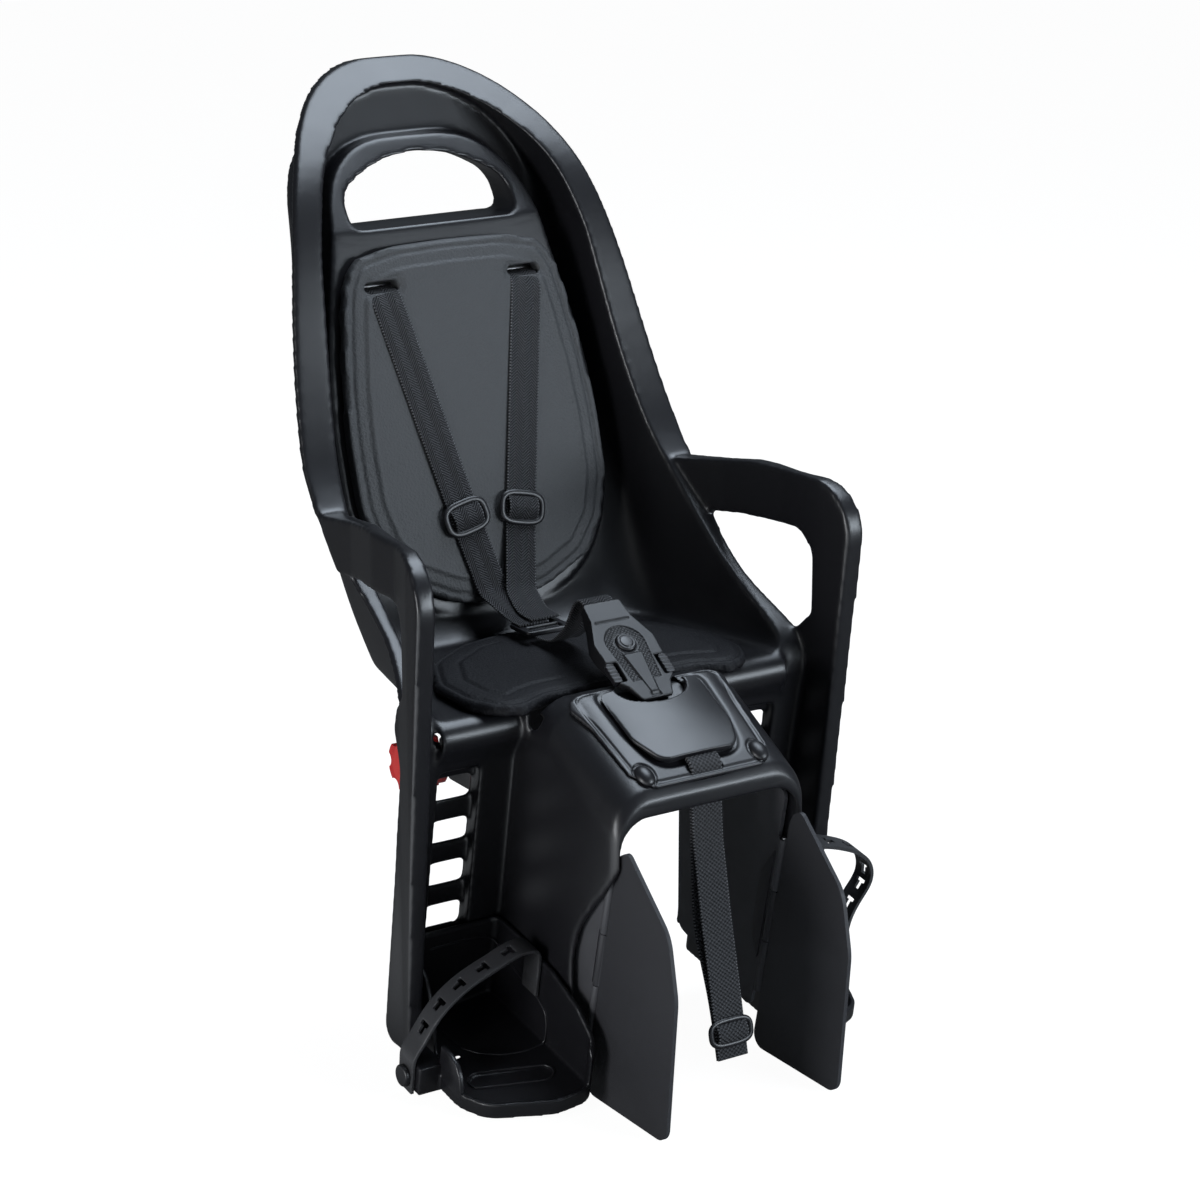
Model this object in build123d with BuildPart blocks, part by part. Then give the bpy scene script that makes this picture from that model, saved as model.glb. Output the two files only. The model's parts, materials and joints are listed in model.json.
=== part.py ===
from build123d import *
import os
from math import atan, cos, hypot, radians, sin

# Child bike seat that rides on a rear carrier, in millimetres.
# The child looks along -Y, +X is the child's left and +Z is up.
# The origin lies midway between the two carrier tubes that the clamp grips.
os.makedirs("parts", exist_ok=True)

# Moulded shell
WALL = 4.0
PAN_TOP = 78.0
PAN_NOSE = -106.0
PAN_CORNER = 12.0
NOSE_ROUND = 13.0
RIM_THICKNESS = 6.0
RIM_TRIM = 6.0
RIM_BACK = 0.86
RIM_DOWN = 0.5
REACH = 400.0

# Leg wells lean back as they go down
LEG_LEAN = 9.8
LEG_TOP_Y = -86.0
LEG_TOP_Z = 60.0
LEG_WALL_DROP = 196.0
LEG_OUTER_X = 168.0
WELL_OUTER_X = 146.0

# Ladder for the footrest height
LADDER_NEAR_X = 109.0
LADDER_FAR_X = 142.0
LADDER_DEPTH = 7.5
LADDER_TOP = 22.0
LADDER_FIRST = 39.0
LADDER_PITCH = 34.3
LADDER_STEPS = 5
LADDER_WINDOW = 17.0

# Pommel between the legs
POMMEL_FRONT = -208.0
POMMEL_HALF = 79.0
POMMEL_REAR_HALF = 82.0
POMMEL_REF_Y = -195.0
POMMEL_REF_Z = 52.0
POMMEL_SLOPE = 0.52
POMMEL_CREST = -125.0
POMMEL_END = -99.0
POMMEL_END_DROP = 3.0
POMMEL_ROUND = 30.0
POMMEL_LOW = -168.0
POMMEL_LIP = 5.0
ARCH_BAND = 17.0
ARCH_SIDE = 5.0
ARCH_ROUND = 22.0
ARCH_DEPTH = 5.0

# Cover and lid of the pommel
COVER_THICK = 3.0
COVER_GAP = 0.3
LID_FRONT = -190.0
LID_REAR = -125.0
LID_HALF_WIDTH = 41.0
LID_FRONT_HEIGHT = 9.0
LID_REAR_HEIGHT = 5.0
RECESS_Y = -128.0
RECESS_HALF_X = 28.0
RECESS_HALF_Y = 18.0
CAP_X = 47.0
CAP_Y = -194.0
CAP_WIDTH = 12.0
CAP_LENGTH = 19.0
CAP_HEIGHT = 3.0

# Hand hole in the head of the backrest
HOLE_HALF = 70.0
HOLE_BOTTOM = 373.0
HOLE_TOP = 421.0
HOLE_DEPTH = 34.0

# Foam pads
PAD_SLOPE = 0.2956
PAD_FOOT_Y = 63.0
PAD_FOOT_Z = 99.0
PAD_THICK = 10.6
PAD_GAP = 0.3
SEAT_PAD_THICK = 9.0

# Webbing
WEB_WIDTH = 25.0
WEB_THICK = 1.6
WEB_GAP = 0.3
WEB_SLOT_Y = -202.0
WEB_SLOT_EASE = 3.0
SLOT_X = 60.5
SLOT_Z = 332.0
SLOT_WIDTH = 29.0
SLOT_HEIGHT = 9.0
BAR_RADIUS = 3.0
BAR_LENGTH = 44.0
ADJUSTER_X = 24.0
ADJUSTER_Z = 168.0
ADJUSTER_WIDTH = 36.0
ADJUSTER_LENGTH = 24.0
ADJUSTER_THICK = 2.6
STRAP_STAND = 4.5
YOKE_Y = 14.0
YOKE_Z = 95.0
YOKE_WIDTH = 38.0
YOKE_LENGTH = 28.0
YOKE_THICK = 3.5
YOKE_PITCH = 12.0
YOKE_BAR = 4.0
YOKE_STEP = 5.0
SLIDER_WIDTH = 34.0
SLIDER_THICK = 7.6
SLIDER_LENGTH = 18.0

# Buckle on its crotch tongue
BUCKLE_Y = -104.0
BUCKLE_Z = 112.0
BUCKLE_TILT = 33.8
BUCKLE_THICK = 12.0
BUTTON_RADIUS = 7.5
BUTTON_TRAVEL = 3.0
BUTTON_PLACE = 5.0
BUTTON_DEPTH = 4.5
BUTTON_PROUD = 1.4
LATCH_INNER_X = 18.5
LATCH_OUTER_X = 25.5
LATCH_PLACE = -18.0
LATCH_LENGTH = 17.0
LATCH_DEPTH = 5.0
POST_Y = -124.0
POST_THICK = 5.0
POST_WIDTH = 24.0
LATCH_TRAVEL = 2.5
SLIDE_GAP = 0.3

# Wheel guards
GUARD_X = 72.0
GUARD_THICK = 3.0
HINGE_TOP = (-193.0, -17.0)
HINGE_BOTTOM = (-165.0, -142.0)
KNUCKLE_RADIUS = 3.4
PIN_RADIUS = 1.5
PIN_FIT = 0.05
HINGE_GAP = 4.6
HINGE_END_GAP = 0.3
GUARD_BOSS_RADIUS = 5.0
GUARD_BOSSES = [(-90, -4), (-90, -90)]

# Footrests
REST_INNER_X = 83.5
REST_NECK_X = 159.5
REST_OUTER_X = 167.5
REST_FRONT = 145.0
REST_FLOOR = -207.0
REST_FALL = 0.15
REST_LIP = 3.5
REST_SKIRT = 8.0
REST_BACK_TOP = -146.0
REST_WALL = 3.5
REST_GAP = 0.6
EAR_OUTER_X = 184.0
STRAP_Y = -58.0
STRAP_BUTTON_Z = -220.0
FOOT_STRAP_WIDTH = 19.0
FOOT_STRAP_THICK = 2.6
STRAP_SLOT_LENGTH = 7.5
STRAP_SLOT_HEAD = 3.0
STRAP_SLOT_WIDTH = 9.0
STRAP_SLOT_STEM = 4.5
EAR_HALF = 15.0
EAR_TOP = -208.0
BUTTON_SHANK = 3.5
BUTTON_HEAD = 8.0
BUTTON_HEAD_THICK = 3.5
TONGUE_SIDE = 6.0
TONGUE_GAP = 1.2
TONGUE_LOW = -184.0
REST_SLOT_X = 126.0
REST_SLOT_Y = -99.0
REST_SLOT_LENGTH = 60.0
REST_SLOT_WIDTH = 17.0
REST_SLOT_DEPTH = 1.5
REST_SLOT_TURN = 24.0

# Carrier clamp
TUBE_X = 62.0
TUBE_RADIUS = 6.0
SCREW_Z = 17.0
SCREW_RADIUS = 5.0
SCREW_FIT = 0.08
GUIDE_Y = 15.0
GUIDE_RADIUS = 3.5
JAW_LENGTH = 44.0
CLAMP_HALF = 45.0
CLAMP_LOW = 8.0
FLANGE_HALF_Y = 41.0
FLANGE_THICK = 5.0
GUIDE_END = 95.0
JAW_INNER_X = 56.0
JAW_OUTER_X = 82.0
JAW_TOP = 24.0
JAW_LIP = 5.0
CLAMP_TOP = 26.0
KNOB_RADIUS = 19.0
KNOB_LENGTH = 28.0
KNOB_INNER_X = 98.0
KNOB_CAP = 6.0
KNOB_SCALLOP = 6.0
KNOB_LOBES = 6
BOLT_RADIUS = 3.0
BOLT_HEAD = 5.5
BOLT_LENGTH = 32.0
PEDESTAL_HALF_X = 54.0
PEDESTAL_HALF_Y = 44.0

SIDES = {"left": 1, "right": -1}

LEAN_SIN = sin(radians(LEG_LEAN))
LEAN_COS = cos(radians(LEG_LEAN))
TILT_SIN = sin(radians(BUCKLE_TILT))
TILT_COS = cos(radians(BUCKLE_TILT))
POMMEL_SIN = sin(atan(POMMEL_SLOPE))
POMMEL_COS = cos(atan(POMMEL_SLOPE))
BOWL_OPEN = 150.0

# Bowl sections: height, rim y, half width at the rim, floor y, half width at the floor, corner
BOWL_ROWS = [
    (PAN_TOP, -86, 146, 58, 114, 40),
    (110, -54, 145, 82, 119, 34),
    (160, 8, 141, 104, 123, 24),
    (210, 60, 134, 128, 122, 16),
    (260, 92, 125, 150, 119, 12),
    (320, 113, 117, 171, 112, 12),
    (380, 134, 110, 189, 105, 12),
    (440, 172, 109, 206, 104, 12),
    (520, 205, 109, 234, 104, 12),
]
# Front line of the rim in side view, from the leg strip to the top of the head
RIM_LINE = [
    (-86, 56), (-84, 80), (-60, 104), (-11, 138), (40, 183), (72, 222),
    (87, 252), (104, 297), (128, 369), (152, 416), (190, 456), (230, 488),
]
# Outer and inner edge of the rim in front view, one half
RIM_OUTER = [
    (170, 50), (170, 78), (164, 97), (154, 120), (153, 145), (158, 172), (160, 203), (155, 250), (148, 297),
    (141, 337), (134, 369), (119, 416), (91, 456), (50, 481), (0, 488),
]
RIM_INNER = [
    (146, 50), (146, 110), (142, 150), (135, 204), (126, 250), (118, 313),
    (110, 369), (94, 416), (68, 446), (36, 464), (0, 470),
]
HEAD_INNER = [(113, 350), (110, 369), (94, 416), (68, 446), (36, 464), (0, 470)]
# Raised panel that carries the back pad and the hand hole
PANEL_FOOT_Z = 91.0


def pad_line(z):
    """Front of the back pad in side view."""
    return PAD_FOOT_Y + PAD_SLOPE * (z - PAD_FOOT_Z)


def pad_back(z):
    """Front of the panel that the back pad lies on."""
    return pad_line(z) + PAD_THICK + PAD_GAP


PANEL_LINE = [
    (pad_back(PANEL_FOOT_Z), PANEL_FOOT_Z), (pad_back(HOLE_BOTTOM), HOLE_BOTTOM), (187, 421), (207, 452),
]
PANEL_HALF = [
    (0, 433), (48, 428), (77, 405), (89, 372), (97, 335), (108, 280),
    (113, 228), (112, 180), (103, 146), (80, 116), (42, 98), (0, 93),
]
PANEL_HOLLOW_FROM = 156.0
BACK_PAD_HALF = [
    (0, 362), (45, 361), (80, 354), (92, 335), (98, 305), (104, 265),
    (107, 225), (106.5, 180), (97, 147), (76, 121), (40, 104), (0, PAD_FOOT_Z),
]
SEAT_PAD_HALF = [
    (0, 46), (56, 38), (98, 10), (119, -35), (119, -75), (106, -100), (88, -108), (75, -103),
    (62, -96), (30, -94.5), (0, -94.5),
]


def half_spline(plane, points, start, end):
    """Closed face from one half outline and its mirror image."""
    first = points[0]
    last = points[-1]
    with BuildSketch(plane, mode=Mode.PRIVATE) as sketch:
        with BuildLine():
            Spline(*points, tangents=(start, end), tangent_scalars=(1, 1))
            if first[0] > 0:
                Line(first, (0, first[1]))
            if last[0] > 0:
                Line(last, (0, last[1]))
            mirror(about=Plane.YZ)
        make_face()
    return sketch.sketch


def moved(points, start, end, amount):
    """Points of an outline moved to the right of its way, with its first and last direction given."""
    ways = [start]
    ways += [(after[0] - before[0], after[1] - before[1]) for before, after in zip(points, points[2:])]
    ways += [end]
    shifts = [amount / hypot(*way) for way in ways]
    return [(u + way[1] * shift, v - way[0] * shift) for (u, v), way, shift in zip(points, ways, shifts)]


def strip(plane, line, thick):
    """Face of a smoothly bent strip along a middle line."""
    start = (line[1][0] - line[0][0], line[1][1] - line[0][1])
    end = (line[-1][0] - line[-2][0], line[-1][1] - line[-2][1])
    one = moved(line, start, end, thick / 2)
    other = moved(line, start, end, -thick / 2)
    with BuildSketch(plane, mode=Mode.PRIVATE) as sketch:
        with BuildLine():
            Spline(*one, tangents=(start, end), tangent_scalars=(1, 1))
            Spline(*other, tangents=(start, end), tangent_scalars=(1, 1))
            Line(one[0], other[0])
            Line(one[-1], other[-1])
        make_face()
    return sketch.sketch


def inset(face, amount):
    """The same face drawn in by an amount."""
    with BuildSketch(Plane.XZ, mode=Mode.PRIVATE) as sketch:
        add(Plane.XZ.to_local_coords(face))
        offset(amount=-amount)
    return sketch.sketch


def side_band(line, depth):
    """Band in side view: a smooth line moved forward by the trim and back by a depth."""
    back = [(y + RIM_BACK * depth, z - RIM_DOWN * depth) for y, z in line]
    front = [(y - RIM_BACK * RIM_TRIM, z + RIM_DOWN * RIM_TRIM) for y, z in line]
    with BuildSketch(Plane.YZ, mode=Mode.PRIVATE) as sketch:
        with BuildLine():
            Spline(*front)
            Spline(*back)
            Line(front[0], back[0])
            Line(front[-1], back[-1])
        make_face()
    return sketch.sketch


def polygon(plane, *points):
    """Straight-edged face on a plane."""
    with BuildSketch(plane, mode=Mode.PRIVATE) as sketch:
        with BuildLine():
            Polyline(*points, close=True)
        make_face()
    return sketch.sketch


def rounded(plane, *corners):
    """Face on a plane whose corners are u, v and the radius that rounds them."""
    with BuildSketch(plane, mode=Mode.PRIVATE) as sketch:
        with BuildLine():
            Polyline(*[(u, v) for u, v, _ in corners], close=True)
        make_face()
        for u, v, radius in corners:
            if radius > 0:
                fillet(sketch.vertices().sort_by_distance((u, v))[0], radius)
    return sketch.sketch


def bowl_section(row, grow, height):
    """One level of the bowl, wide open towards the front."""
    _, rim_y, rim_half, floor_y, floor_half, corner = row
    flare = (rim_half - floor_half) / (floor_y - rim_y)
    front_y = rim_y - BOWL_OPEN
    front_half = rim_half + flare * BOWL_OPEN + grow
    back_half = floor_half + grow
    back_y = floor_y + grow
    with BuildSketch(Plane.XY.offset(height), mode=Mode.PRIVATE) as sketch:
        with BuildLine():
            Polyline(
                (-front_half, front_y), (-back_half, back_y),
                (back_half, back_y), (front_half, front_y), close=True,
            )
        make_face()
        fillet(sketch.vertices().group_by(Axis.Y)[-1], corner + grow)
    return sketch.sketch


def bowl_levels(grow):
    """All levels of the bowl, with the lowest one at the pan."""
    levels = [bowl_section(BOWL_ROWS[0], grow, PAN_TOP - grow)]
    levels += [bowl_section(row, grow, row[0]) for row in BOWL_ROWS[1:]]
    return levels


def head_face(grow):
    """Front view limit that rounds the bowl off over the child's head."""
    low = -REACH
    line = moved(HEAD_INNER, (0, 1), (-1, 0), grow)
    shoulder = line[0][1]
    with BuildSketch(Plane.XZ, mode=Mode.PRIVATE) as sketch:
        with BuildLine():
            Spline(*line, tangents=((0, 1), (-1, 0)), tangent_scalars=(1, 1))
            Line(line[0], (REACH, shoulder))
            Line((REACH, shoulder), (REACH, low))
            mirror(about=Plane.YZ)
            Line((REACH, low), (-REACH, low))
        make_face()
    return sketch.sketch


def leg_plane(height):
    """Plane across the leg well, square to the leaning wall, at a height along it."""
    origin = (0, LEG_TOP_Y - LEAN_SIN * height, LEG_TOP_Z + LEAN_COS * height)
    return Plane(origin=origin, x_dir=(1, 0, 0), z_dir=(0, -LEAN_SIN, LEAN_COS))


def leg_side_plane(x):
    """Side view plane of the leg well: first axis back, second axis up along the wall."""
    origin = (x, LEG_TOP_Y, LEG_TOP_Z)
    return Plane(origin=origin, x_dir=(0, LEAN_COS, LEAN_SIN), z_dir=(1, 0, 0))


def leg_front_plane(depth):
    """Front view plane of the leg well: first axis X, second axis up along the wall."""
    origin = (0, *leg_point(depth, 0))
    return Plane(origin=origin, x_dir=(1, 0, 0), z_dir=(0, -LEAN_COS, -LEAN_SIN))


def leg_point(depth, height):
    """Side view point of the leg well as plain y and z."""
    y = LEG_TOP_Y + LEAN_COS * depth - LEAN_SIN * height
    z = LEG_TOP_Z + LEAN_SIN * depth + LEAN_COS * height
    return (y, z)


def pommel_top(y):
    """Height of the pommel's sloping top."""
    return POMMEL_REF_Z + POMMEL_SLOPE * (y - POMMEL_REF_Y)


def pommel_along(y):
    """Distance along the pommel's slope."""
    return (y - POMMEL_REF_Y) / POMMEL_COS


def pommel_plane(lift):
    """Plane on the pommel's slope, lifted square to it."""
    origin = (0, POMMEL_REF_Y - POMMEL_SIN * lift, POMMEL_REF_Z + POMMEL_COS * lift)
    return Plane(origin=origin, x_dir=(1, 0, 0), z_dir=(0, -POMMEL_SIN, POMMEL_COS))


def pommel_side_plane(x):
    """Side view plane of the pommel: first axis up its slope, second axis square to it."""
    origin = (x, POMMEL_REF_Y, POMMEL_REF_Z)
    return Plane(origin=origin, x_dir=(0, POMMEL_COS, POMMEL_SIN), z_dir=(1, 0, 0))


def pommel_point(along, lift):
    """Side view point on the pommel's slope as plain y and z."""
    return (POMMEL_REF_Y + POMMEL_COS * along - POMMEL_SIN * lift,
            POMMEL_REF_Z + POMMEL_SIN * along + POMMEL_COS * lift)


def buckle_plane(lift):
    """Plane of the buckle's front face, lifted square to it."""
    return Plane(origin=(0, *buckle_point(0, lift)), x_dir=(1, 0, 0), z_dir=(0, -TILT_SIN, TILT_COS))


def buckle_side_plane(x):
    """Side view plane of the buckle: first axis up its face, second axis out of it."""
    return Plane(origin=(x, BUCKLE_Y, BUCKLE_Z), x_dir=(0, TILT_COS, TILT_SIN), z_dir=(1, 0, 0))


def buckle_point(along, lift):
    """Side view point of the buckle as plain y and z."""
    return (BUCKLE_Y + TILT_COS * along - TILT_SIN * lift, BUCKLE_Z + TILT_SIN * along + TILT_COS * lift)


def pommel_section(y, half, top, corner):
    """Arch-shaped section of the pommel, square to the ride direction."""
    with BuildSketch(Plane.XZ.offset(-y), mode=Mode.PRIVATE) as sketch:
        with BuildLine():
            Polyline(
                (-half, POMMEL_LOW), (-half, top), (half, top), (half, POMMEL_LOW), close=True,
            )
        make_face()
        fillet(sketch.vertices().group_by(Axis.Y)[-1], corner)
    return sketch.sketch


def ribbon_section(point, along, across, width, thick):
    """Rectangular cut through a strap."""
    plane = Plane(origin=point, x_dir=across, z_dir=along)
    with BuildSketch(plane, mode=Mode.PRIVATE) as sketch:
        Rectangle(width, thick)
    return sketch.sketch


# Bowl of the shell: outer skin, inner hollow
with BuildPart() as bowl_hollow:
    loft(sections=bowl_levels(0))
    extrude(head_face(0), amount=REACH, both=True, mode=Mode.INTERSECT)
    pan_edges = bowl_hollow.faces().sort_by(Axis.Z)[0].edges().sort_by(Axis.Y)[1:]
    fillet(pan_edges, PAN_CORNER)

with BuildPart() as bowl_skin:
    loft(sections=bowl_levels(WALL))
    extrude(head_face(WALL), amount=REACH, both=True, mode=Mode.INTERSECT)
    skin_edges = bowl_skin.faces().sort_by(Axis.Z)[0].edges().sort_by(Axis.Y)[1:]
    fillet(skin_edges, PAN_CORNER + WALL)


# Rim: a broad flange round the bowl
rim_outer = half_spline(Plane.XZ, RIM_OUTER, (0, 1), (-1, 0))
rim_inner = half_spline(Plane.XZ, moved(RIM_INNER, (0, 1), (-1, 0), WALL / 2), (0, 1), (-1, 0))
with BuildPart() as rim:
    extrude(side_band(RIM_LINE, RIM_THICKNESS), amount=REACH, both=True)
    extrude(rim_outer, amount=REACH, both=True, mode=Mode.INTERSECT)
    extrude(rim_inner, amount=REACH, both=True, mode=Mode.SUBTRACT)

# Everything ahead of the rim stays open
with BuildPart() as rim_front:
    with BuildSketch(Plane.YZ):
        with BuildLine():
            Spline(*RIM_LINE)
            Polyline(
                RIM_LINE[-1], (RIM_LINE[-1][0], REACH * 2), (-REACH, REACH * 2),
                (-REACH, RIM_LINE[0][1]), RIM_LINE[0],
            )
        make_face()
    extrude(amount=REACH, both=True)

# Raised panel behind the back pad, hollow from the rear
panel_outline = half_spline(Plane.XZ, PANEL_HALF, (1, 0), (-1, 0))
panel_back = [(REACH, PANEL_LINE[-1][1]), (REACH, PANEL_LINE[0][1])]
with BuildPart() as panel_block:
    extrude(polygon(Plane.YZ, *PANEL_LINE, *panel_back), amount=REACH, both=True)
    extrude(panel_outline, amount=REACH, both=True, mode=Mode.INTERSECT)
    add(bowl_skin.part, mode=Mode.INTERSECT)

panel_skin_line = [(y + WALL, z) for y, z in PANEL_LINE]
with BuildPart() as panel_hollow:
    extrude(polygon(Plane.YZ, *panel_skin_line, *panel_back), amount=REACH, both=True)
    hollow_line = moved(PANEL_HALF, (1, 0), (-1, 0), WALL)
    extrude(half_spline(Plane.XZ, hollow_line, (1, 0), (-1, 0)), amount=REACH, both=True,
            mode=Mode.INTERSECT)
    low_part = polygon(Plane.YZ, (0, 0), (REACH, 0), (REACH, PANEL_HOLLOW_FROM), (0, PANEL_HOLLOW_FROM))
    extrude(low_part, amount=REACH, both=True, mode=Mode.SUBTRACT)

# Hand hole and the collar that lines it
HOLE_SHOULDER = HOLE_TOP - 24.0
with BuildSketch(Plane.XZ, mode=Mode.PRIVATE) as hole_sketch:
    with BuildLine():
        Polyline((-HOLE_HALF, HOLE_SHOULDER), (-HOLE_HALF, HOLE_BOTTOM), (HOLE_HALF, HOLE_BOTTOM),
                 (HOLE_HALF, HOLE_SHOULDER))
        ThreePointArc((HOLE_HALF, HOLE_SHOULDER), (0, HOLE_TOP), (-HOLE_HALF, HOLE_SHOULDER))
    make_face()
    fillet(hole_sketch.vertices().group_by(Axis.Y)[0], 9)
    fillet(hole_sketch.vertices().group_by(Axis.Y)[-1], 20)
hole_face = hole_sketch.sketch

panel_collar_line = [(y + HOLE_DEPTH, z) for y, z in reversed(PANEL_LINE)]
with BuildPart() as hole_collar:
    extrude(polygon(Plane.YZ, *PANEL_LINE, *panel_collar_line), amount=REACH, both=True)
    extrude(inset(hole_face, -WALL), amount=REACH, both=True, mode=Mode.INTERSECT)


def leg_block(near_x, far_x, front, back, low, high):
    """Block in the leaning frame of the leg well."""
    with BuildPart(mode=Mode.PRIVATE) as block:
        corners = [(front, low), (back, low), (back, high), (front, high)]
        extrude(polygon(leg_side_plane(near_x), *corners), amount=far_x - near_x)
    return block.part


# Nose of the pan and the leaning wall of the leg well, child's left
ladder_low = -(LADDER_FIRST + (LADDER_STEPS - 1) * LADDER_PITCH + LADDER_WINDOW / 2 + WALL)
with BuildPart() as leg_wall:
    with BuildSketch(Plane.YZ.offset(POMMEL_REAR_HALF - WALL)):
        with BuildLine():
            FilletPolyline(
                (PAN_NOSE + 46, PAN_TOP), (PAN_NOSE, PAN_TOP),
                leg_point(0, 6 - LADDER_TOP), leg_point(0, -LEG_WALL_DROP), radius=(NOSE_ROUND, 30),
            )
            offset(amount=WALL, side=Side.LEFT)
        make_face()
    extrude(amount=WELL_OUTER_X + WALL - POMMEL_REAR_HALF)
    add(leg_block(WELL_OUTER_X - WALL, LEG_OUTER_X, 0, WALL, -LEG_WALL_DROP, WALL))
    add(leg_block(LADDER_NEAR_X - WALL, LADDER_FAR_X + WALL, 0, LADDER_DEPTH + WALL,
                  ladder_low - WALL, WALL - LADDER_TOP))
    add(leg_block(LADDER_NEAR_X, LADDER_FAR_X, -WALL, LADDER_DEPTH, ladder_low, -LADDER_TOP),
        mode=Mode.SUBTRACT)
    for step in range(LADDER_STEPS):
        middle = -(LADDER_FIRST + step * LADDER_PITCH)
        add(leg_block(LADDER_NEAR_X + 2, LADDER_FAR_X - 2, 0, LADDER_DEPTH + 2 * WALL,
                      middle - LADDER_WINDOW / 2, middle + LADDER_WINDOW / 2), mode=Mode.SUBTRACT)

# Arm rest and its leg, child's left: a side view crossed with a plan view
ARM_SIDE = [
    (60, 195, 4), (-30, 209, 60), (-135, 209, 38), (-91, -164, 13), (-48, -164, 13), (*leg_point(3, -12), 0),
    (-72, 76, 0), (-77, 93, 4), (-92, 106, 10), (-92, 168, 22), (-20, 166, 40), (26, 160, 3),
]
ARM_PLAN = [
    (159, 64, 0), (163, 0, 40), (172, -45, 20), (173, -80, 20), (181, -107, 20), (185, -130, 4), (184, -144, 0),
    (172, -144, 0), (166, -100, 20), (162, -60, 20), (152, 0, 60), (138, 64, 0),
]
with BuildPart() as arm:
    extrude(rounded(Plane.YZ, *ARM_SIDE), amount=REACH)
    extrude(rounded(Plane.XY, *ARM_PLAN), amount=REACH, both=True, mode=Mode.INTERSECT)

# Pommel: a hollow arch with a framed front edge
rear_top = pommel_top(POMMEL_CREST)
end_top = rear_top - POMMEL_END_DROP
front_top = pommel_top(POMMEL_FRONT)


def pommel_hull(grow):
    """Solid outline of the pommel, grown all round."""
    rise = grow / POMMEL_COS
    lip_y = POMMEL_FRONT + POMMEL_LIP
    rear_half = POMMEL_REAR_HALF + grow
    rear_round = POMMEL_ROUND + WALL + grow
    with BuildPart(mode=Mode.PRIVATE) as hull:
        loft(ruled=True, sections=[
            pommel_section(POMMEL_FRONT, POMMEL_HALF - POMMEL_LIP / 2 + grow,
                           front_top - POMMEL_LIP + rise, POMMEL_ROUND - POMMEL_LIP / 2 + grow),
            pommel_section(lip_y, POMMEL_HALF + grow, pommel_top(lip_y) + rise, POMMEL_ROUND + grow),
            pommel_section(POMMEL_CREST, rear_half, rear_top + rise, rear_round),
            pommel_section(POMMEL_END, rear_half, end_top + rise, rear_round),
        ])
    return hull.part


# Recess round the buckle's foot, the slot of its post and the slot of the safety strap
with BuildPart() as recess:
    with BuildSketch(pommel_plane(0)):
        with Locations((0, pommel_along(RECESS_Y))):
            Ellipse(RECESS_HALF_X, RECESS_HALF_Y)
    extrude(amount=REACH, both=True)

with BuildPart() as post_slot:
    with BuildSketch(Plane.XY.offset(PAN_TOP - WALL)):
        with Locations((0, POST_Y)):
            Rectangle(POST_WIDTH + 2 * PAD_GAP, POST_THICK + 2 * PAD_GAP)
    extrude(amount=REACH)

with BuildPart() as web_slot:
    with BuildSketch(Plane.XY):
        with Locations((0, WEB_SLOT_Y)):
            Rectangle(WEB_WIDTH + 2, 2 * WEB_THICK + WEB_SLOT_EASE, align=(Align.CENTER, Align.MIN))
    extrude(amount=REACH)

with BuildPart() as pommel:
    add(pommel_hull(0))
    loft(ruled=True, mode=Mode.SUBTRACT, sections=[
        pommel_section(POMMEL_FRONT + ARCH_DEPTH, POMMEL_HALF - WALL,
                       pommel_top(POMMEL_FRONT + ARCH_DEPTH) - WALL, POMMEL_ROUND - WALL),
        pommel_section(POMMEL_CREST, POMMEL_REAR_HALF - WALL, rear_top - WALL, POMMEL_ROUND),
        pommel_section(POMMEL_END - WALL, POMMEL_REAR_HALF - WALL, end_top - WALL, POMMEL_ROUND),
    ])
    arch_half = POMMEL_HALF - ARCH_SIDE
    opening = pommel_section(POMMEL_FRONT - 1, arch_half, front_top - ARCH_BAND, ARCH_ROUND)
    extrude(opening, amount=-ARCH_DEPTH - 3, mode=Mode.SUBTRACT)
    flank_rear = [
        (POMMEL_END - 1, PAN_TOP - 1), (POMMEL_END - 1, POMMEL_LOW), (PAN_NOSE / 4, POMMEL_LOW),
        leg_point(WALL, -LEG_WALL_DROP), leg_point(WALL, 0), (LEG_TOP_Y + 10, PAN_TOP - 1),
    ]
    for flank_x in (POMMEL_REAR_HALF - WALL, -POMMEL_REAR_HALF):
        extrude(polygon(Plane.YZ.offset(flank_x), *flank_rear), amount=WALL)
    under_pan = [(POMMEL_END - 2 * WALL, PAN_TOP - WALL), (0, PAN_TOP - WALL), (0, POMMEL_LOW * 2),
                 (POMMEL_END - 2 * WALL, POMMEL_LOW * 2)]
    inner_half = POMMEL_REAR_HALF - WALL
    extrude(polygon(Plane.YZ.offset(-inner_half), *under_pan), amount=2 * inner_half, mode=Mode.SUBTRACT)
    with BuildSketch(Plane.YZ):
        with BuildLine():
            seam = Spline((POMMEL_FRONT - 2, -2), (-186, -34), (-161, -66), (-154, -105), (-163, -148))
            Polyline(seam @ 1, leg_point(WALL, 6 - LEG_WALL_DROP), leg_point(WALL, 2 * WALL),
                     (LEG_TOP_Y + 12, PAN_TOP - 1), (LEG_TOP_Y + 12, REACH / 2),
                     (POMMEL_FRONT - 2, REACH / 2), seam @ 0)
        make_face()
    extrude(amount=REACH, both=True, mode=Mode.INTERSECT)
    add(post_slot.part, mode=Mode.SUBTRACT)
    add(web_slot.part, mode=Mode.SUBTRACT)

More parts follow.
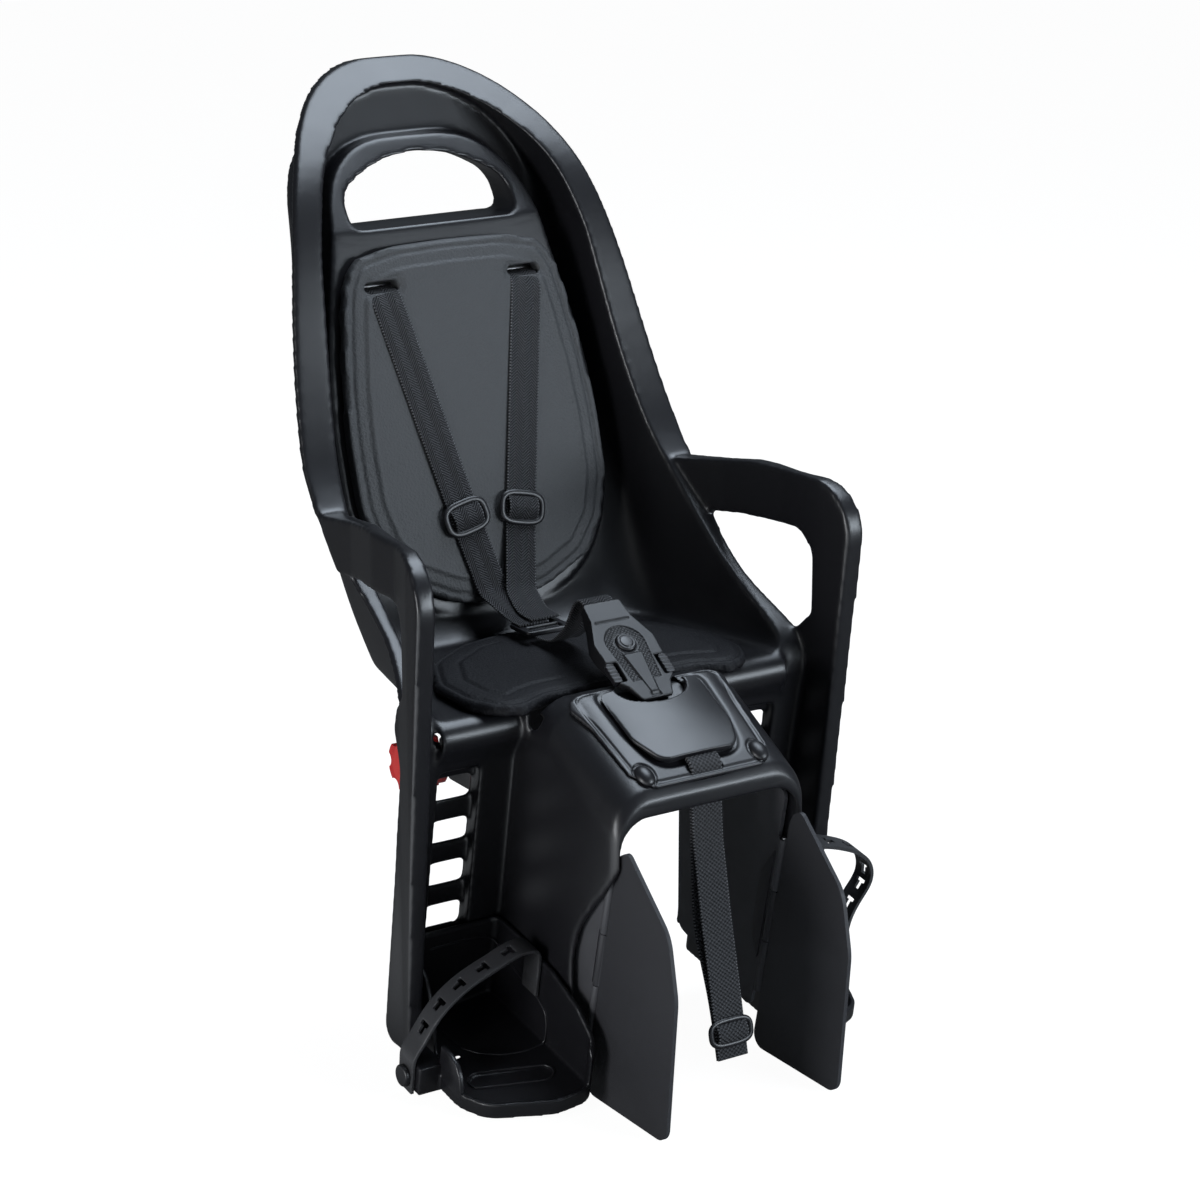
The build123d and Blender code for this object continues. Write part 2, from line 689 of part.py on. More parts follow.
# Pedestal under the pan that stands on the carrier clamp
BOSS_X = CLAMP_HALF - 9.0
BOSS_Y = PEDESTAL_HALF_Y - 12.0
BOSS_RADIUS = 7.0
with BuildPart() as pedestal:
    with BuildSketch(Plane.XY.offset(CLAMP_TOP)):
        Rectangle(2 * PEDESTAL_HALF_X, 2 * PEDESTAL_HALF_Y)
        Rectangle(2 * (PEDESTAL_HALF_X - WALL), 2 * (PEDESTAL_HALF_Y - WALL), mode=Mode.SUBTRACT)
        with GridLocations(2 * BOSS_X, 2 * BOSS_Y, 2, 2):
            Circle(BOSS_RADIUS)
    extrude(amount=PAN_TOP - WALL / 2 - CLAMP_TOP)
    with BuildSketch(Plane.XY.offset(CLAMP_TOP)):
        with GridLocations(2 * BOSS_X, 2 * BOSS_Y, 2, 2):
            Circle(BOLT_RADIUS + SCREW_FIT)
    extrude(amount=PAN_TOP - 3 * WALL - CLAMP_TOP, mode=Mode.SUBTRACT)

# The whole shell is one moulding
with BuildPart() as seat_shell:
    add(bowl_skin.part)
    add(bowl_hollow.part, mode=Mode.SUBTRACT)
    add(rim.part)
    add(rim_front.part, mode=Mode.SUBTRACT)
    add(panel_block.part)
    add(panel_hollow.part, mode=Mode.SUBTRACT)
    add(hole_collar.part)
    add(leg_wall.part)
    add(leg_wall.part.mirror(Plane.YZ))
    add(pommel.part)
    add(pedestal.part)
    add(arm.part)
    add(arm.part.mirror(Plane.YZ))
    extrude(hole_face, amount=REACH, both=True, mode=Mode.SUBTRACT)
    with BuildSketch(Plane.XZ):
        with Locations((SLOT_X, SLOT_Z), (-SLOT_X, SLOT_Z)):
            SlotOverall(SLOT_WIDTH, SLOT_HEIGHT)
    extrude(amount=REACH, both=True, mode=Mode.SUBTRACT)
seat_shell.part.label = "seat_shell"
export_step(seat_shell.part, "parts/seat_shell.step")


def unit(vector):
    """Vector of length one."""
    return Vector(vector).normalized()


def ribbon(path, across, width, thick):
    """Flat strap along a path, with one cross direction for each of its points."""
    points = [Vector(point) for point in path]
    runs = [unit(after - before) for before, after in zip(points, points[1:])]
    sections = []
    for index, point in enumerate(points):
        before = runs[max(index - 1, 0)]
        after = runs[min(index, len(runs) - 1)]
        along = unit(before + after)
        side = Vector(across[index])
        side = unit(side - along * side.dot(along))
        sections.append(ribbon_section(point, along, side, width, thick / along.dot(after)))
    with BuildPart(mode=Mode.PRIVATE) as strap:
        loft(sections=sections, ruled=True)
    return strap.part


def symmetric(plane, *half):
    """Rounded face from the corners of its right half and their mirror image."""
    return rounded(plane, *half, *[(-u, v, radius) for u, v, radius in reversed(half)])


def export_pair(part, name):
    """Write the child's left piece and its mirror image on the right."""
    for side, piece in (("left", part), ("right", part.mirror(Plane.YZ))):
        piece.label = f"{name}_{side}"
        export_step(piece, f"parts/{name}_{side}.step")


# Back pad, with slots for the shoulder straps
PAD_REACH = 40.0
pad_low = PAD_FOOT_Z - PAD_REACH
pad_high = HOLE_BOTTOM + PAD_REACH
with BuildPart() as back_pad:
    band = [(pad_line(pad_low), pad_low), (pad_line(pad_high), pad_high),
            (pad_line(pad_high) + PAD_THICK, pad_high), (pad_line(pad_low) + PAD_THICK, pad_low)]
    extrude(polygon(Plane.YZ, *band), amount=REACH, both=True)
    extrude(half_spline(Plane.XZ, BACK_PAD_HALF, (1, 0), (-1, 0)), amount=REACH, both=True,
            mode=Mode.INTERSECT)
    with BuildSketch(Plane.XZ):
        with Locations((SLOT_X, SLOT_Z), (-SLOT_X, SLOT_Z)):
            SlotOverall(SLOT_WIDTH, SLOT_HEIGHT)
    extrude(amount=REACH, both=True, mode=Mode.SUBTRACT)
back_pad.part.label = "back_pad"
export_step(back_pad.part, "parts/back_pad.step")

# Seat pad on the pan
with BuildPart() as seat_pad:
    pad_plane = Plane.XY.offset(PAN_TOP + PAD_GAP)
    extrude(half_spline(pad_plane, SEAT_PAD_HALF, (1, 0), (-1, 0)), amount=SEAT_PAD_THICK)
seat_pad.part.label = "seat_pad"
export_step(seat_pad.part, "parts/seat_pad.step")

# Cover plate that wraps over the pommel
COVER_HALF = [(46, -204.5, 8), (57, -190, 0), (60, -150, 0), (66, -127, 8), (52, -113, 10)]
with BuildPart() as pommel_cover:
    add(pommel_hull(COVER_GAP + COVER_THICK))
    add(pommel_hull(COVER_GAP), mode=Mode.SUBTRACT)
    extrude(symmetric(Plane.XY, *COVER_HALF), amount=REACH, both=True, mode=Mode.INTERSECT)
    add(recess.part, mode=Mode.SUBTRACT)
    add(web_slot.part, mode=Mode.SUBTRACT)
pommel_cover.part.label = "pommel_cover"
export_step(pommel_cover.part, "parts/pommel_cover.step")

# Raised lid on the cover
lid_base = 2 * COVER_GAP + COVER_THICK
lid_front = pommel_along(LID_FRONT)
lid_rear = pommel_along(LID_REAR)
LID_HALF = [(31, lid_front, 12), (LID_HALF_WIDTH, lid_front + 24, 20), (LID_HALF_WIDTH + 1, lid_rear, 8)]
with BuildPart() as pommel_lid:
    profile = [(lid_front, lid_base), (lid_front, LID_FRONT_HEIGHT), (lid_rear, LID_REAR_HEIGHT),
               (lid_rear, lid_base)]
    extrude(polygon(pommel_side_plane(0), *profile), amount=REACH, both=True)
    extrude(symmetric(pommel_plane(0), *LID_HALF), amount=REACH, both=True, mode=Mode.INTERSECT)
    add(recess.part, mode=Mode.SUBTRACT)
pommel_lid.part.label = "pommel_lid"
export_step(pommel_lid.part, "parts/pommel_lid.step")

# Two oval caps over the screws of the cover
with BuildPart() as cover_caps:
    with BuildSketch(pommel_plane(lid_base)):
        with Locations((CAP_X, pommel_along(CAP_Y)), (-CAP_X, pommel_along(CAP_Y))):
            Ellipse(CAP_WIDTH / 2, CAP_LENGTH / 2)
    extrude(amount=CAP_HEIGHT)
cover_caps.part.label = "cover_caps"
export_step(cover_caps.part, "parts/cover_caps.step")

# Buckle: body, round button, side latches and the post that carries it
BUCKLE_HALF = [
    (15.5, 44, 3), (17, 28, 0), (25, 8, 4), (24, -8, 0), (22, -28, 3), (17, -33, 0), (12.5, -45, 1.5),
]
BUCKLE_SIDE = [(44, 0), (44, -6), (30, -BUCKLE_THICK), (-2, -BUCKLE_THICK)]
BUCKLE_UNDER = [(-14, -9), (-33, -4.5)]
BUCKLE_FOOT = [(-45, -3), (-45, 0)]
with BuildPart() as buckle_body:
    extrude(symmetric(buckle_plane(0), *BUCKLE_HALF), amount=-2 * BUCKLE_THICK)
    extrude(polygon(buckle_side_plane(0), *BUCKLE_SIDE, *BUCKLE_UNDER, *BUCKLE_FOOT), amount=REACH,
            both=True, mode=Mode.INTERSECT)
    with BuildSketch(buckle_plane(0)):
        with Locations((0, BUTTON_PLACE)):
            Circle(BUTTON_RADIUS + SLIDE_GAP)
    extrude(amount=-(BUTTON_DEPTH + BUTTON_TRAVEL + SLIDE_GAP), mode=Mode.SUBTRACT)
    with BuildSketch(buckle_plane(-LATCH_DEPTH - SLIDE_GAP)):
        notch = LATCH_INNER_X - LATCH_TRAVEL - SLIDE_GAP
        for sign in SIDES.values():
            with Locations((sign * (notch + BUCKLE_THICK), LATCH_PLACE)):
                Rectangle(2 * BUCKLE_THICK, LATCH_LENGTH + 2 * SLIDE_GAP)
    extrude(amount=REACH, mode=Mode.SUBTRACT)
buckle_body.part.label = "buckle_body"
export_step(buckle_body.part, "parts/buckle_body.step")

with BuildPart() as buckle_button:
    with BuildSketch(buckle_plane(-BUTTON_DEPTH)):
        with Locations((0, BUTTON_PLACE)):
            Circle(BUTTON_RADIUS)
    extrude(amount=BUTTON_DEPTH + BUTTON_PROUD)
    fillet(buckle_button.faces().sort_by(Axis.Z)[-1].edges(), BUTTON_PROUD * 0.8)
buckle_button.part.label = "buckle_button"
export_step(buckle_button.part, "parts/buckle_button.step")

with BuildPart() as buckle_latch:
    with BuildSketch(buckle_plane(-LATCH_DEPTH)):
        with Locations(((LATCH_INNER_X + LATCH_OUTER_X) / 2, LATCH_PLACE)):
            RectangleRounded(LATCH_OUTER_X - LATCH_INNER_X, LATCH_LENGTH, 2)
    extrude(amount=LATCH_DEPTH - 2 * SLIDE_GAP)
export_pair(buckle_latch.part, "buckle_latch")

POST_FOOT = 6.0
with BuildPart() as crotch_post:
    plate = [(POST_Y - POST_THICK / 2, PAN_TOP), (POST_Y - POST_THICK / 2, BUCKLE_Z),
             (POST_Y + POST_THICK / 2, BUCKLE_Z), (POST_Y + POST_THICK / 2, PAN_TOP)]
    extrude(polygon(Plane.YZ, *plate), amount=POST_WIDTH / 2, both=True)
    under_skin = WALL + PAD_GAP
    foot_front = POMMEL_CREST - POST_FOOT
    foot_rear = POMMEL_CREST + POST_FOOT
    foot = [(foot_front, pommel_top(foot_front) - under_skin), (POMMEL_CREST, rear_top - under_skin),
            (foot_rear, rear_top - under_skin - POMMEL_END_DROP / 2), (foot_rear, PAN_TOP - WALL),
            (foot_front, PAN_TOP - WALL)]
    extrude(polygon(Plane.YZ, *foot), amount=POST_WIDTH / 2 + POST_FOOT, both=True)
    low, high = BUCKLE_UNDER[1], BUCKLE_UNDER[0]
    above = [(low[0], low[1] - SLIDE_GAP), (high[0], high[1] - SLIDE_GAP), (high[0], REACH), (low[0], REACH)]
    extrude(polygon(buckle_side_plane(0), *above), amount=REACH, both=True, mode=Mode.SUBTRACT)
crotch_post.part.label = "crotch_post"
export_step(crotch_post.part, "parts/crotch_post.step")

# Yoke slider where the shoulder straps meet the buckle strap
ACROSS_X = (1, 0, 0)
with BuildPart() as yoke_slider:
    with BuildSketch(Plane.XY.offset(YOKE_Z)):
        with Locations((0, YOKE_Y)):
            RectangleRounded(YOKE_WIDTH, YOKE_LENGTH, 4)
        with Locations((0, YOKE_Y - YOKE_PITCH / 2), (0, YOKE_Y + YOKE_PITCH / 2)):
            RectangleRounded(WEB_WIDTH + 2, YOKE_PITCH - YOKE_BAR, 1.5, mode=Mode.SUBTRACT)
    extrude(amount=YOKE_THICK)
yoke_slider.part.label = "yoke_slider"
export_step(yoke_slider.part, "parts/yoke_slider.step")

# Strap from the yoke to the top end of the buckle
web_clear = WEB_THICK / 2 + WEB_GAP
front_bar_y = YOKE_Y - YOKE_LENGTH / 2
front_window_y = YOKE_Y - YOKE_PITCH / 2
buckle_end = buckle_point(BUCKLE_SIDE[0][0] + WEB_GAP, BUCKLE_SIDE[1][1] / 2)
BUCKLE_STRAP_LINE = [
    (front_window_y + 1, YOKE_Z + YOKE_THICK / 2), (front_window_y - 3, YOKE_Z - web_clear),
    (front_bar_y - 4, YOKE_Z - web_clear), (-20, YOKE_Z + 1), (-38, YOKE_Z + 15), (-52, BUCKLE_Z + 23),
    buckle_point(BUCKLE_SIDE[0][0] + 7, BUCKLE_SIDE[1][1] / 2), buckle_end,
]
with BuildPart() as buckle_strap:
    path = [(0, y, z) for y, z in BUCKLE_STRAP_LINE]
    add(ribbon(path, [ACROSS_X] * len(path), WEB_WIDTH, WEB_THICK))
buckle_strap.part.label = "buckle_strap"
export_step(buckle_strap.part, "parts/buckle_strap.step")

# Shoulder straps from the bars behind the backrest to the yoke, stacked there
strap_bar_y = pad_back(SLOT_Z) + WALL + 1.045 * (BAR_RADIUS + PAD_GAP)
rear_bar_y = YOKE_Y + YOKE_LENGTH / 2
strap_out = Vector(SLOT_X - 1, pad_line(SLOT_Z) - STRAP_STAND, SLOT_Z - 6)
ring_middle = Vector(ADJUSTER_X, pad_line(ADJUSTER_Z) - STRAP_STAND, ADJUSTER_Z)
down_strap = unit(ring_middle - strap_out)
below_ring = ring_middle + down_strap * ADJUSTER_LENGTH * 0.6
STRAP_TILT = (0.977, -0.06, -0.204)
STRAP_LOW_Z = 112.0
for side, sign in SIDES.items():
    stack = WEB_THICK + 4 * WEB_GAP if side == "left" else 0
    over_bar = YOKE_Z + YOKE_THICK + web_clear + stack
    tilt = (STRAP_TILT[0], STRAP_TILT[1] * sign, STRAP_TILT[2] * sign)
    path = [
        (sign * SLOT_X, strap_bar_y - BAR_RADIUS - WEB_GAP, SLOT_Z),
        (sign * SLOT_X, pad_line(SLOT_Z) + 1, SLOT_Z),
        (sign * strap_out.X, strap_out.Y, strap_out.Z),
        (sign * below_ring.X, below_ring.Y, below_ring.Z),
        (sign * 2 * YOKE_STEP, pad_line(STRAP_LOW_Z) - STRAP_STAND - 2 * stack, STRAP_LOW_Z),
        (sign * YOKE_STEP, rear_bar_y + 6, over_bar + 1),
        (sign * YOKE_STEP, rear_bar_y - YOKE_BAR, over_bar),
        (sign * YOKE_STEP, YOKE_Y, over_bar),
    ]
    across = [ACROSS_X, ACROSS_X, tilt, tilt, ACROSS_X, ACROSS_X, ACROSS_X, ACROSS_X]
    shoulder_strap = ribbon(path, across, WEB_WIDTH, WEB_THICK)
    shoulder_strap.label = f"shoulder_strap_{side}"
    export_step(shoulder_strap, f"parts/shoulder_strap_{side}.step")

# Adjuster rings on the shoulder straps
ring_across = Vector(STRAP_TILT)
ring_across = unit(ring_across - down_strap * ring_across.dot(down_strap))
ring_normal = down_strap.cross(ring_across)
ring_face = Plane(origin=ring_middle + ring_normal * web_clear, x_dir=ring_across, z_dir=ring_normal)
with BuildPart() as strap_adjuster:
    with BuildSketch(ring_face):
        RectangleRounded(ADJUSTER_WIDTH, ADJUSTER_LENGTH, 6)
        with Locations((0, ADJUSTER_LENGTH / 4 - 0.5), (0, 0.5 - ADJUSTER_LENGTH / 4)):
            RectangleRounded(WEB_WIDTH + 2, ADJUSTER_LENGTH / 2 - 5, 2, mode=Mode.SUBTRACT)
    extrude(amount=ADJUSTER_THICK)
export_pair(strap_adjuster.part, "strap_adjuster")

# Bars behind the backrest that hold the shoulder straps
with BuildPart() as strap_bars:
    for sign in SIDES.values():
        with BuildSketch(Plane.YZ.offset(sign * SLOT_X - BAR_LENGTH / 2)):
            with Locations((strap_bar_y, SLOT_Z)):
                Circle(BAR_RADIUS)
        extrude(amount=BAR_LENGTH)
strap_bars.part.label = "strap_bars"
export_step(strap_bars.part, "parts/strap_bars.step")

# Safety strap: doubled webbing that leaves the pommel and hangs in front of the wheel channel
strap_lift = lid_base + WEB_THICK
slot_middle = WEB_SLOT_Y + WEB_THICK + WEB_GAP
SAFETY_LINE = [
    pommel_point(lid_front - WEB_GAP, strap_lift), pommel_point(lid_front - 7, strap_lift),
    (slot_middle, pommel_top(slot_middle)), (slot_middle, 24), (slot_middle - 2, 0),
    (-213, -55), (-225, -105), (-235, -150),
]
with BuildPart() as safety_strap:
    path = [(0, y, z) for y, z in SAFETY_LINE]
    add(ribbon(path, [ACROSS_X] * len(path), WEB_WIDTH, 2 * WEB_THICK))
safety_strap.part.label = "safety_strap"
export_step(safety_strap.part, "parts/safety_strap.step")

end_high, end_low = (Vector(0, *point) for point in SAFETY_LINE[-2:])
slider_plane = Plane(origin=end_high * 0.4 + end_low * 0.6, x_dir=ACROSS_X, z_dir=unit(end_low - end_high))
with BuildPart() as safety_strap_slider:
    with BuildSketch(slider_plane):
        RectangleRounded(SLIDER_WIDTH, SLIDER_THICK, 1.5)
        Rectangle(WEB_WIDTH + 2 * WEB_GAP, 2 * (WEB_THICK + WEB_GAP), mode=Mode.SUBTRACT)
    extrude(amount=SLIDER_LENGTH / 2, both=True)
safety_strap_slider.part.label = "safety_strap_slider"
export_step(safety_strap_slider.part, "parts/safety_strap_slider.step")

# Wheel guards: a panel inside each flank of the pommel, a hinged flap ahead of it and the hinge pin
hinge_length = hypot(HINGE_BOTTOM[0] - HINGE_TOP[0], HINGE_BOTTOM[1] - HINGE_TOP[1])
hinge_y = (HINGE_BOTTOM[0] - HINGE_TOP[0]) / hinge_length
hinge_z = (HINGE_BOTTOM[1] - HINGE_TOP[1]) / hinge_length


def hinge_point(along, back):
    """Side view point measured down the hinge line and back from it."""
    return (HINGE_TOP[0] + hinge_y * along - hinge_z * back, HINGE_TOP[1] + hinge_z * along + hinge_y * back)


def knuckle(start, end, reach, radius):
    """Hinge barrel between two places on the hinge line with a web towards its leaf."""
    y, z = hinge_point(start, 0)
    barrel = Plane(origin=(GUARD_X, y, z), x_dir=ACROSS_X, z_dir=(0, hinge_y, hinge_z))
    web = [hinge_point(start, 0), hinge_point(start, reach), hinge_point(end, reach), hinge_point(end, 0)]
    with BuildPart(mode=Mode.PRIVATE) as leaf:
        with BuildSketch(barrel):
            Circle(radius)
        extrude(amount=end - start)
        if reach != 0:
            extrude(polygon(Plane.YZ.offset(GUARD_X - GUARD_THICK / 2), *web), amount=GUARD_THICK)
    return leaf.part


guard_side = Plane.YZ.offset(GUARD_X - GUARD_THICK / 2)
third = hinge_length / 3
pin_bore = knuckle(-hinge_length, 2 * hinge_length, 0, PIN_RADIUS + PIN_FIT)
GUARD_TOP = 20.0
GUARD_REAR = -64.0
GUARD_LOW = -127.0
with BuildPart() as guard_panel:
    outline = [
        (*hinge_point(-12, HINGE_GAP), 3), (POMMEL_FRONT + ARCH_DEPTH + 7, GUARD_TOP, 6),
        (GUARD_REAR, GUARD_TOP, 8), (GUARD_REAR, GUARD_LOW, 10),
        (*hinge_point(hinge_length + 18, HINGE_GAP), 6),
    ]
    extrude(rounded(guard_side, *outline), amount=GUARD_THICK)
    add(knuckle(0, third - HINGE_END_GAP, HINGE_GAP + 1, KNUCKLE_RADIUS))
    add(knuckle(2 * third + HINGE_END_GAP, hinge_length, HINGE_GAP + 1, KNUCKLE_RADIUS))
    with BuildSketch(Plane.YZ.offset(GUARD_X)):
        with Locations(*GUARD_BOSSES):
            Circle(GUARD_BOSS_RADIUS)
    extrude(amount=POMMEL_REAR_HALF - WALL - PAD_GAP - GUARD_X)
    add(pin_bore, mode=Mode.SUBTRACT)
export_pair(guard_panel.part, "guard_panel")

with BuildPart() as guard_flap:
    outline = [
        (*hinge_point(-14, -HINGE_GAP), 3), (-205, 5, 6), (-214, 10, 6), (-263, -34, 30), (-272, -78, 40),
        (-262, -186, 12), (*hinge_point(hinge_length + 44, -HINGE_GAP), 10),
    ]
    extrude(rounded(guard_side, *outline), amount=GUARD_THICK)
    add(knuckle(third + HINGE_END_GAP, 2 * third - HINGE_END_GAP, -HINGE_GAP - 1, KNUCKLE_RADIUS))
    add(pin_bore, mode=Mode.SUBTRACT)
export_pair(guard_flap.part, "guard_flap")

with BuildPart() as guard_pin:
    add(knuckle(-1, hinge_length + 1, 0, PIN_RADIUS))
export_pair(guard_pin.part, "guard_pin")

# Footrest: a cup that slides on the leaning wall, with a floor that falls outwards and a tongue in the ladder
REST_PLAN = [
    (REST_INNER_X, -REST_GAP, 8), (REST_NECK_X, -REST_GAP, 6), (REST_NECK_X, -54, 8), (REST_OUTER_X, -62, 8),
    (REST_OUTER_X, -100, 24), (158, -122, 26), (116, -REST_FRONT, 30), (REST_INNER_X, -REST_FRONT, 14),
]
REST_INNER_TOP = [(-45, -146), (-80, -150), (-114, -159), (-134, -171), (-145, -184), (-150, -204)]
REST_OUTER_TOP = [(-30, -165), (-44, -187), (-54, -230), (-REST_FRONT - REST_SKIRT, -230)]


def rest_floor(x):
    """Height of the footrest's floor along the leaning wall."""
    return REST_FLOOR - REST_FALL * (x - REST_INNER_X)


def rest_space(lift):
    """Everything above the footrest's floor, lifted by an amount."""
    far_x = 2 * REST_OUTER_X
    corners = [(0, rest_floor(0) + lift), (far_x, rest_floor(far_x) + lift), (far_x, 0), (0, 0)]
    with BuildPart(mode=Mode.PRIVATE) as space:
        extrude(polygon(leg_front_plane(0), *corners), amount=REACH, both=True)
    return space.part


rest_low = rest_floor(REST_OUTER_X) - REST_SKIRT
inner_wall_x = REST_INNER_X + 2 * REST_WALL
with BuildPart() as rest_core:
    with BuildSketch(leg_plane(rest_low)):
        add(leg_plane(rest_low).to_local_coords(rounded(leg_plane(rest_low), *REST_PLAN)))
        offset(amount=-REST_WALL)
    extrude(amount=REACH)

with BuildPart() as rest_front:
    above = [(0, REST_BACK_TOP), *REST_OUTER_TOP, (REST_OUTER_TOP[-1][0], 0), (0, 0)]
    extrude(polygon(leg_side_plane(inner_wall_x), *above), amount=REACH)
    add(rest_space(REST_LIP), mode=Mode.INTERSECT)

with BuildPart() as footrest:
    extrude(rounded(leg_plane(rest_low), *REST_PLAN), amount=REST_BACK_TOP - rest_low)
    add(rest_space(-REST_SKIRT), mode=Mode.INTERSECT)
    add(rest_core.part & rest_space(0), mode=Mode.SUBTRACT)
    add(rest_core.part - rest_space(-REST_WALL), mode=Mode.SUBTRACT)
    above = [(0, REST_BACK_TOP), *REST_INNER_TOP, (REST_INNER_TOP[-1][0], 0), (0, 0)]
    extrude(polygon(leg_side_plane(0), *above), amount=inner_wall_x, mode=Mode.SUBTRACT)
    add(rest_front.part, mode=Mode.SUBTRACT)
    add(leg_block(LADDER_NEAR_X + TONGUE_SIDE, LADDER_FAR_X - TONGUE_SIDE, -REST_GAP - REST_WALL / 2,
                  LADDER_DEPTH - TONGUE_GAP, TONGUE_LOW, TONGUE_LOW + LADDER_WINDOW - 1))
    add(leg_block(REST_OUTER_X - REST_WALL, EAR_OUTER_X, STRAP_Y - EAR_HALF, STRAP_Y + EAR_HALF - 3,
                  STRAP_BUTTON_Z - FOOT_STRAP_WIDTH / 2, EAR_TOP))
    slot_place = (REST_SLOT_X, *leg_point(REST_SLOT_Y, rest_floor(REST_SLOT_X)))
    out_of_floor = (REST_FALL, -LEAN_SIN, LEAN_COS)
    with BuildSketch(Plane(origin=slot_place, x_dir=(LEAN_COS, 0, -REST_FALL), z_dir=out_of_floor)):
        SlotOverall(REST_SLOT_LENGTH, REST_SLOT_WIDTH, rotation=REST_SLOT_TURN)
    extrude(amount=-REST_SLOT_DEPTH, mode=Mode.SUBTRACT)
    button_axis = Plane(origin=(0, *leg_point(STRAP_Y, STRAP_BUTTON_Z)), x_dir=(0, 1, 0), z_dir=ACROSS_X)
    with BuildSketch(button_axis):
        Circle(BUTTON_SHANK + PIN_FIT)
    extrude(amount=REACH, mode=Mode.SUBTRACT)
export_pair(footrest.part, "footrest")

# Rubber foot straps with a row of keyhole slots: drawn tight on the right, left loose on the left
strap_x = EAR_OUTER_X + PAD_GAP + FOOT_STRAP_THICK / 2
anchor_x = REST_INNER_X + REST_WALL + 3 * PAD_GAP + FOOT_STRAP_THICK / 2
STRAP_START = [(strap_x, STRAP_BUTTON_Z + step) for step in (-11, -2, 7, 15)]
STRAP_ANCHOR = [(anchor_x + 2, -140), (anchor_x, -148), (anchor_x, -162), (anchor_x, -176)]
TIGHT_ARC = [(180, -194), (170, -177), (157, -163), (141, -152.5), (121, -144), (101, -137.5)]
LOOSE_ARC = [
    (187.5, -180), (195, -164), (201.5, -151), (200, -138), (190, -126), (173, -117), (155, -111), (136, -109),
    (117, -113), (101, -123),
]
for side, arc in (("left", LOOSE_ARC), ("right", TIGHT_ARC)):
    line = [*STRAP_START, *arc, *STRAP_ANCHOR]
    with BuildPart() as foot_strap:
        extrude(strip(leg_front_plane(STRAP_Y), line, FOOT_STRAP_THICK), amount=FOOT_STRAP_WIDTH / 2, both=True)
        for low, high in zip(arc, arc[1:]):
            start, end = (Vector(x, *leg_point(STRAP_Y, height)) for x, height in (low, high))
            run = unit(end - start)
            out_of_strap = run.cross(Vector(0, LEAN_COS, LEAN_SIN))
            with BuildSketch(Plane(origin=(start + end) * 0.5, x_dir=run, z_dir=out_of_strap)):
                Rectangle(STRAP_SLOT_LENGTH, STRAP_SLOT_STEM)
                with Locations((STRAP_SLOT_LENGTH / 2, 0)):
                    Rectangle(STRAP_SLOT_HEAD, STRAP_SLOT_WIDTH)
            extrude(amount=2 * FOOT_STRAP_THICK, both=True, mode=Mode.SUBTRACT)
        with BuildSketch(button_axis):
            Circle(BUTTON_SHANK + PAD_GAP)
        extrude(amount=REACH, mode=Mode.SUBTRACT)
    piece = foot_strap.part if side == "left" else foot_strap.part.mirror(Plane.YZ)
    piece.label = f"foot_strap_{side}"
    export_step(piece, f"parts/foot_strap_{side}.step")

with BuildPart() as foot_strap_button:
    head_x = EAR_OUTER_X + 2 * PAD_GAP + FOOT_STRAP_THICK
    with BuildSketch(button_axis.offset(head_x)):
        Circle(BUTTON_HEAD)
    extrude(amount=BUTTON_HEAD_THICK)
    fillet(foot_strap_button.faces().sort_by(Axis.X)[-1].edges(), 1.5)
    with BuildSketch(button_axis.offset(REST_OUTER_X)):
        Circle(BUTTON_SHANK)
    extrude(amount=head_x - REST_OUTER_X + BUTTON_HEAD_THICK / 2)
export_pair(foot_strap_button.part, "foot_strap_button")

# Carrier clamp: body with guide rods, two jaws, lead screw, knob and bolts
clamp_seat = CLAMP_TOP - PAD_GAP
with BuildPart() as clamp_body:
    with BuildSketch(Plane.YZ.offset(-CLAMP_HALF)):
        with Locations((0, (CLAMP_LOW + clamp_seat) / 2)):
            Rectangle(JAW_LENGTH, clamp_seat - CLAMP_LOW)
        with Locations((0, SCREW_Z)):
            Circle(SCREW_RADIUS + SCREW_FIT, mode=Mode.SUBTRACT)
    extrude(amount=2 * CLAMP_HALF)
    with BuildSketch(Plane.XY.offset(clamp_seat)):
        Rectangle(2 * CLAMP_HALF, 2 * FLANGE_HALF_Y)
        Rectangle(2 * CLAMP_HALF, JAW_LENGTH - 2, mode=Mode.SUBTRACT)
        with GridLocations(2 * BOSS_X, 2 * BOSS_Y, 2, 2):
            Circle(BOLT_RADIUS + PAD_GAP, mode=Mode.SUBTRACT)
    extrude(amount=-FLANGE_THICK)
    for sign in SIDES.values():
        with BuildSketch(Plane.YZ.offset(sign * (CLAMP_HALF - 1))):
            with Locations((GUIDE_Y, SCREW_Z), (-GUIDE_Y, SCREW_Z)):
                Circle(GUIDE_RADIUS)
        extrude(amount=sign * (GUIDE_END - CLAMP_HALF + 1))
clamp_body.part.label = "clamp_body"
export_step(clamp_body.part, "parts/clamp_body.step")

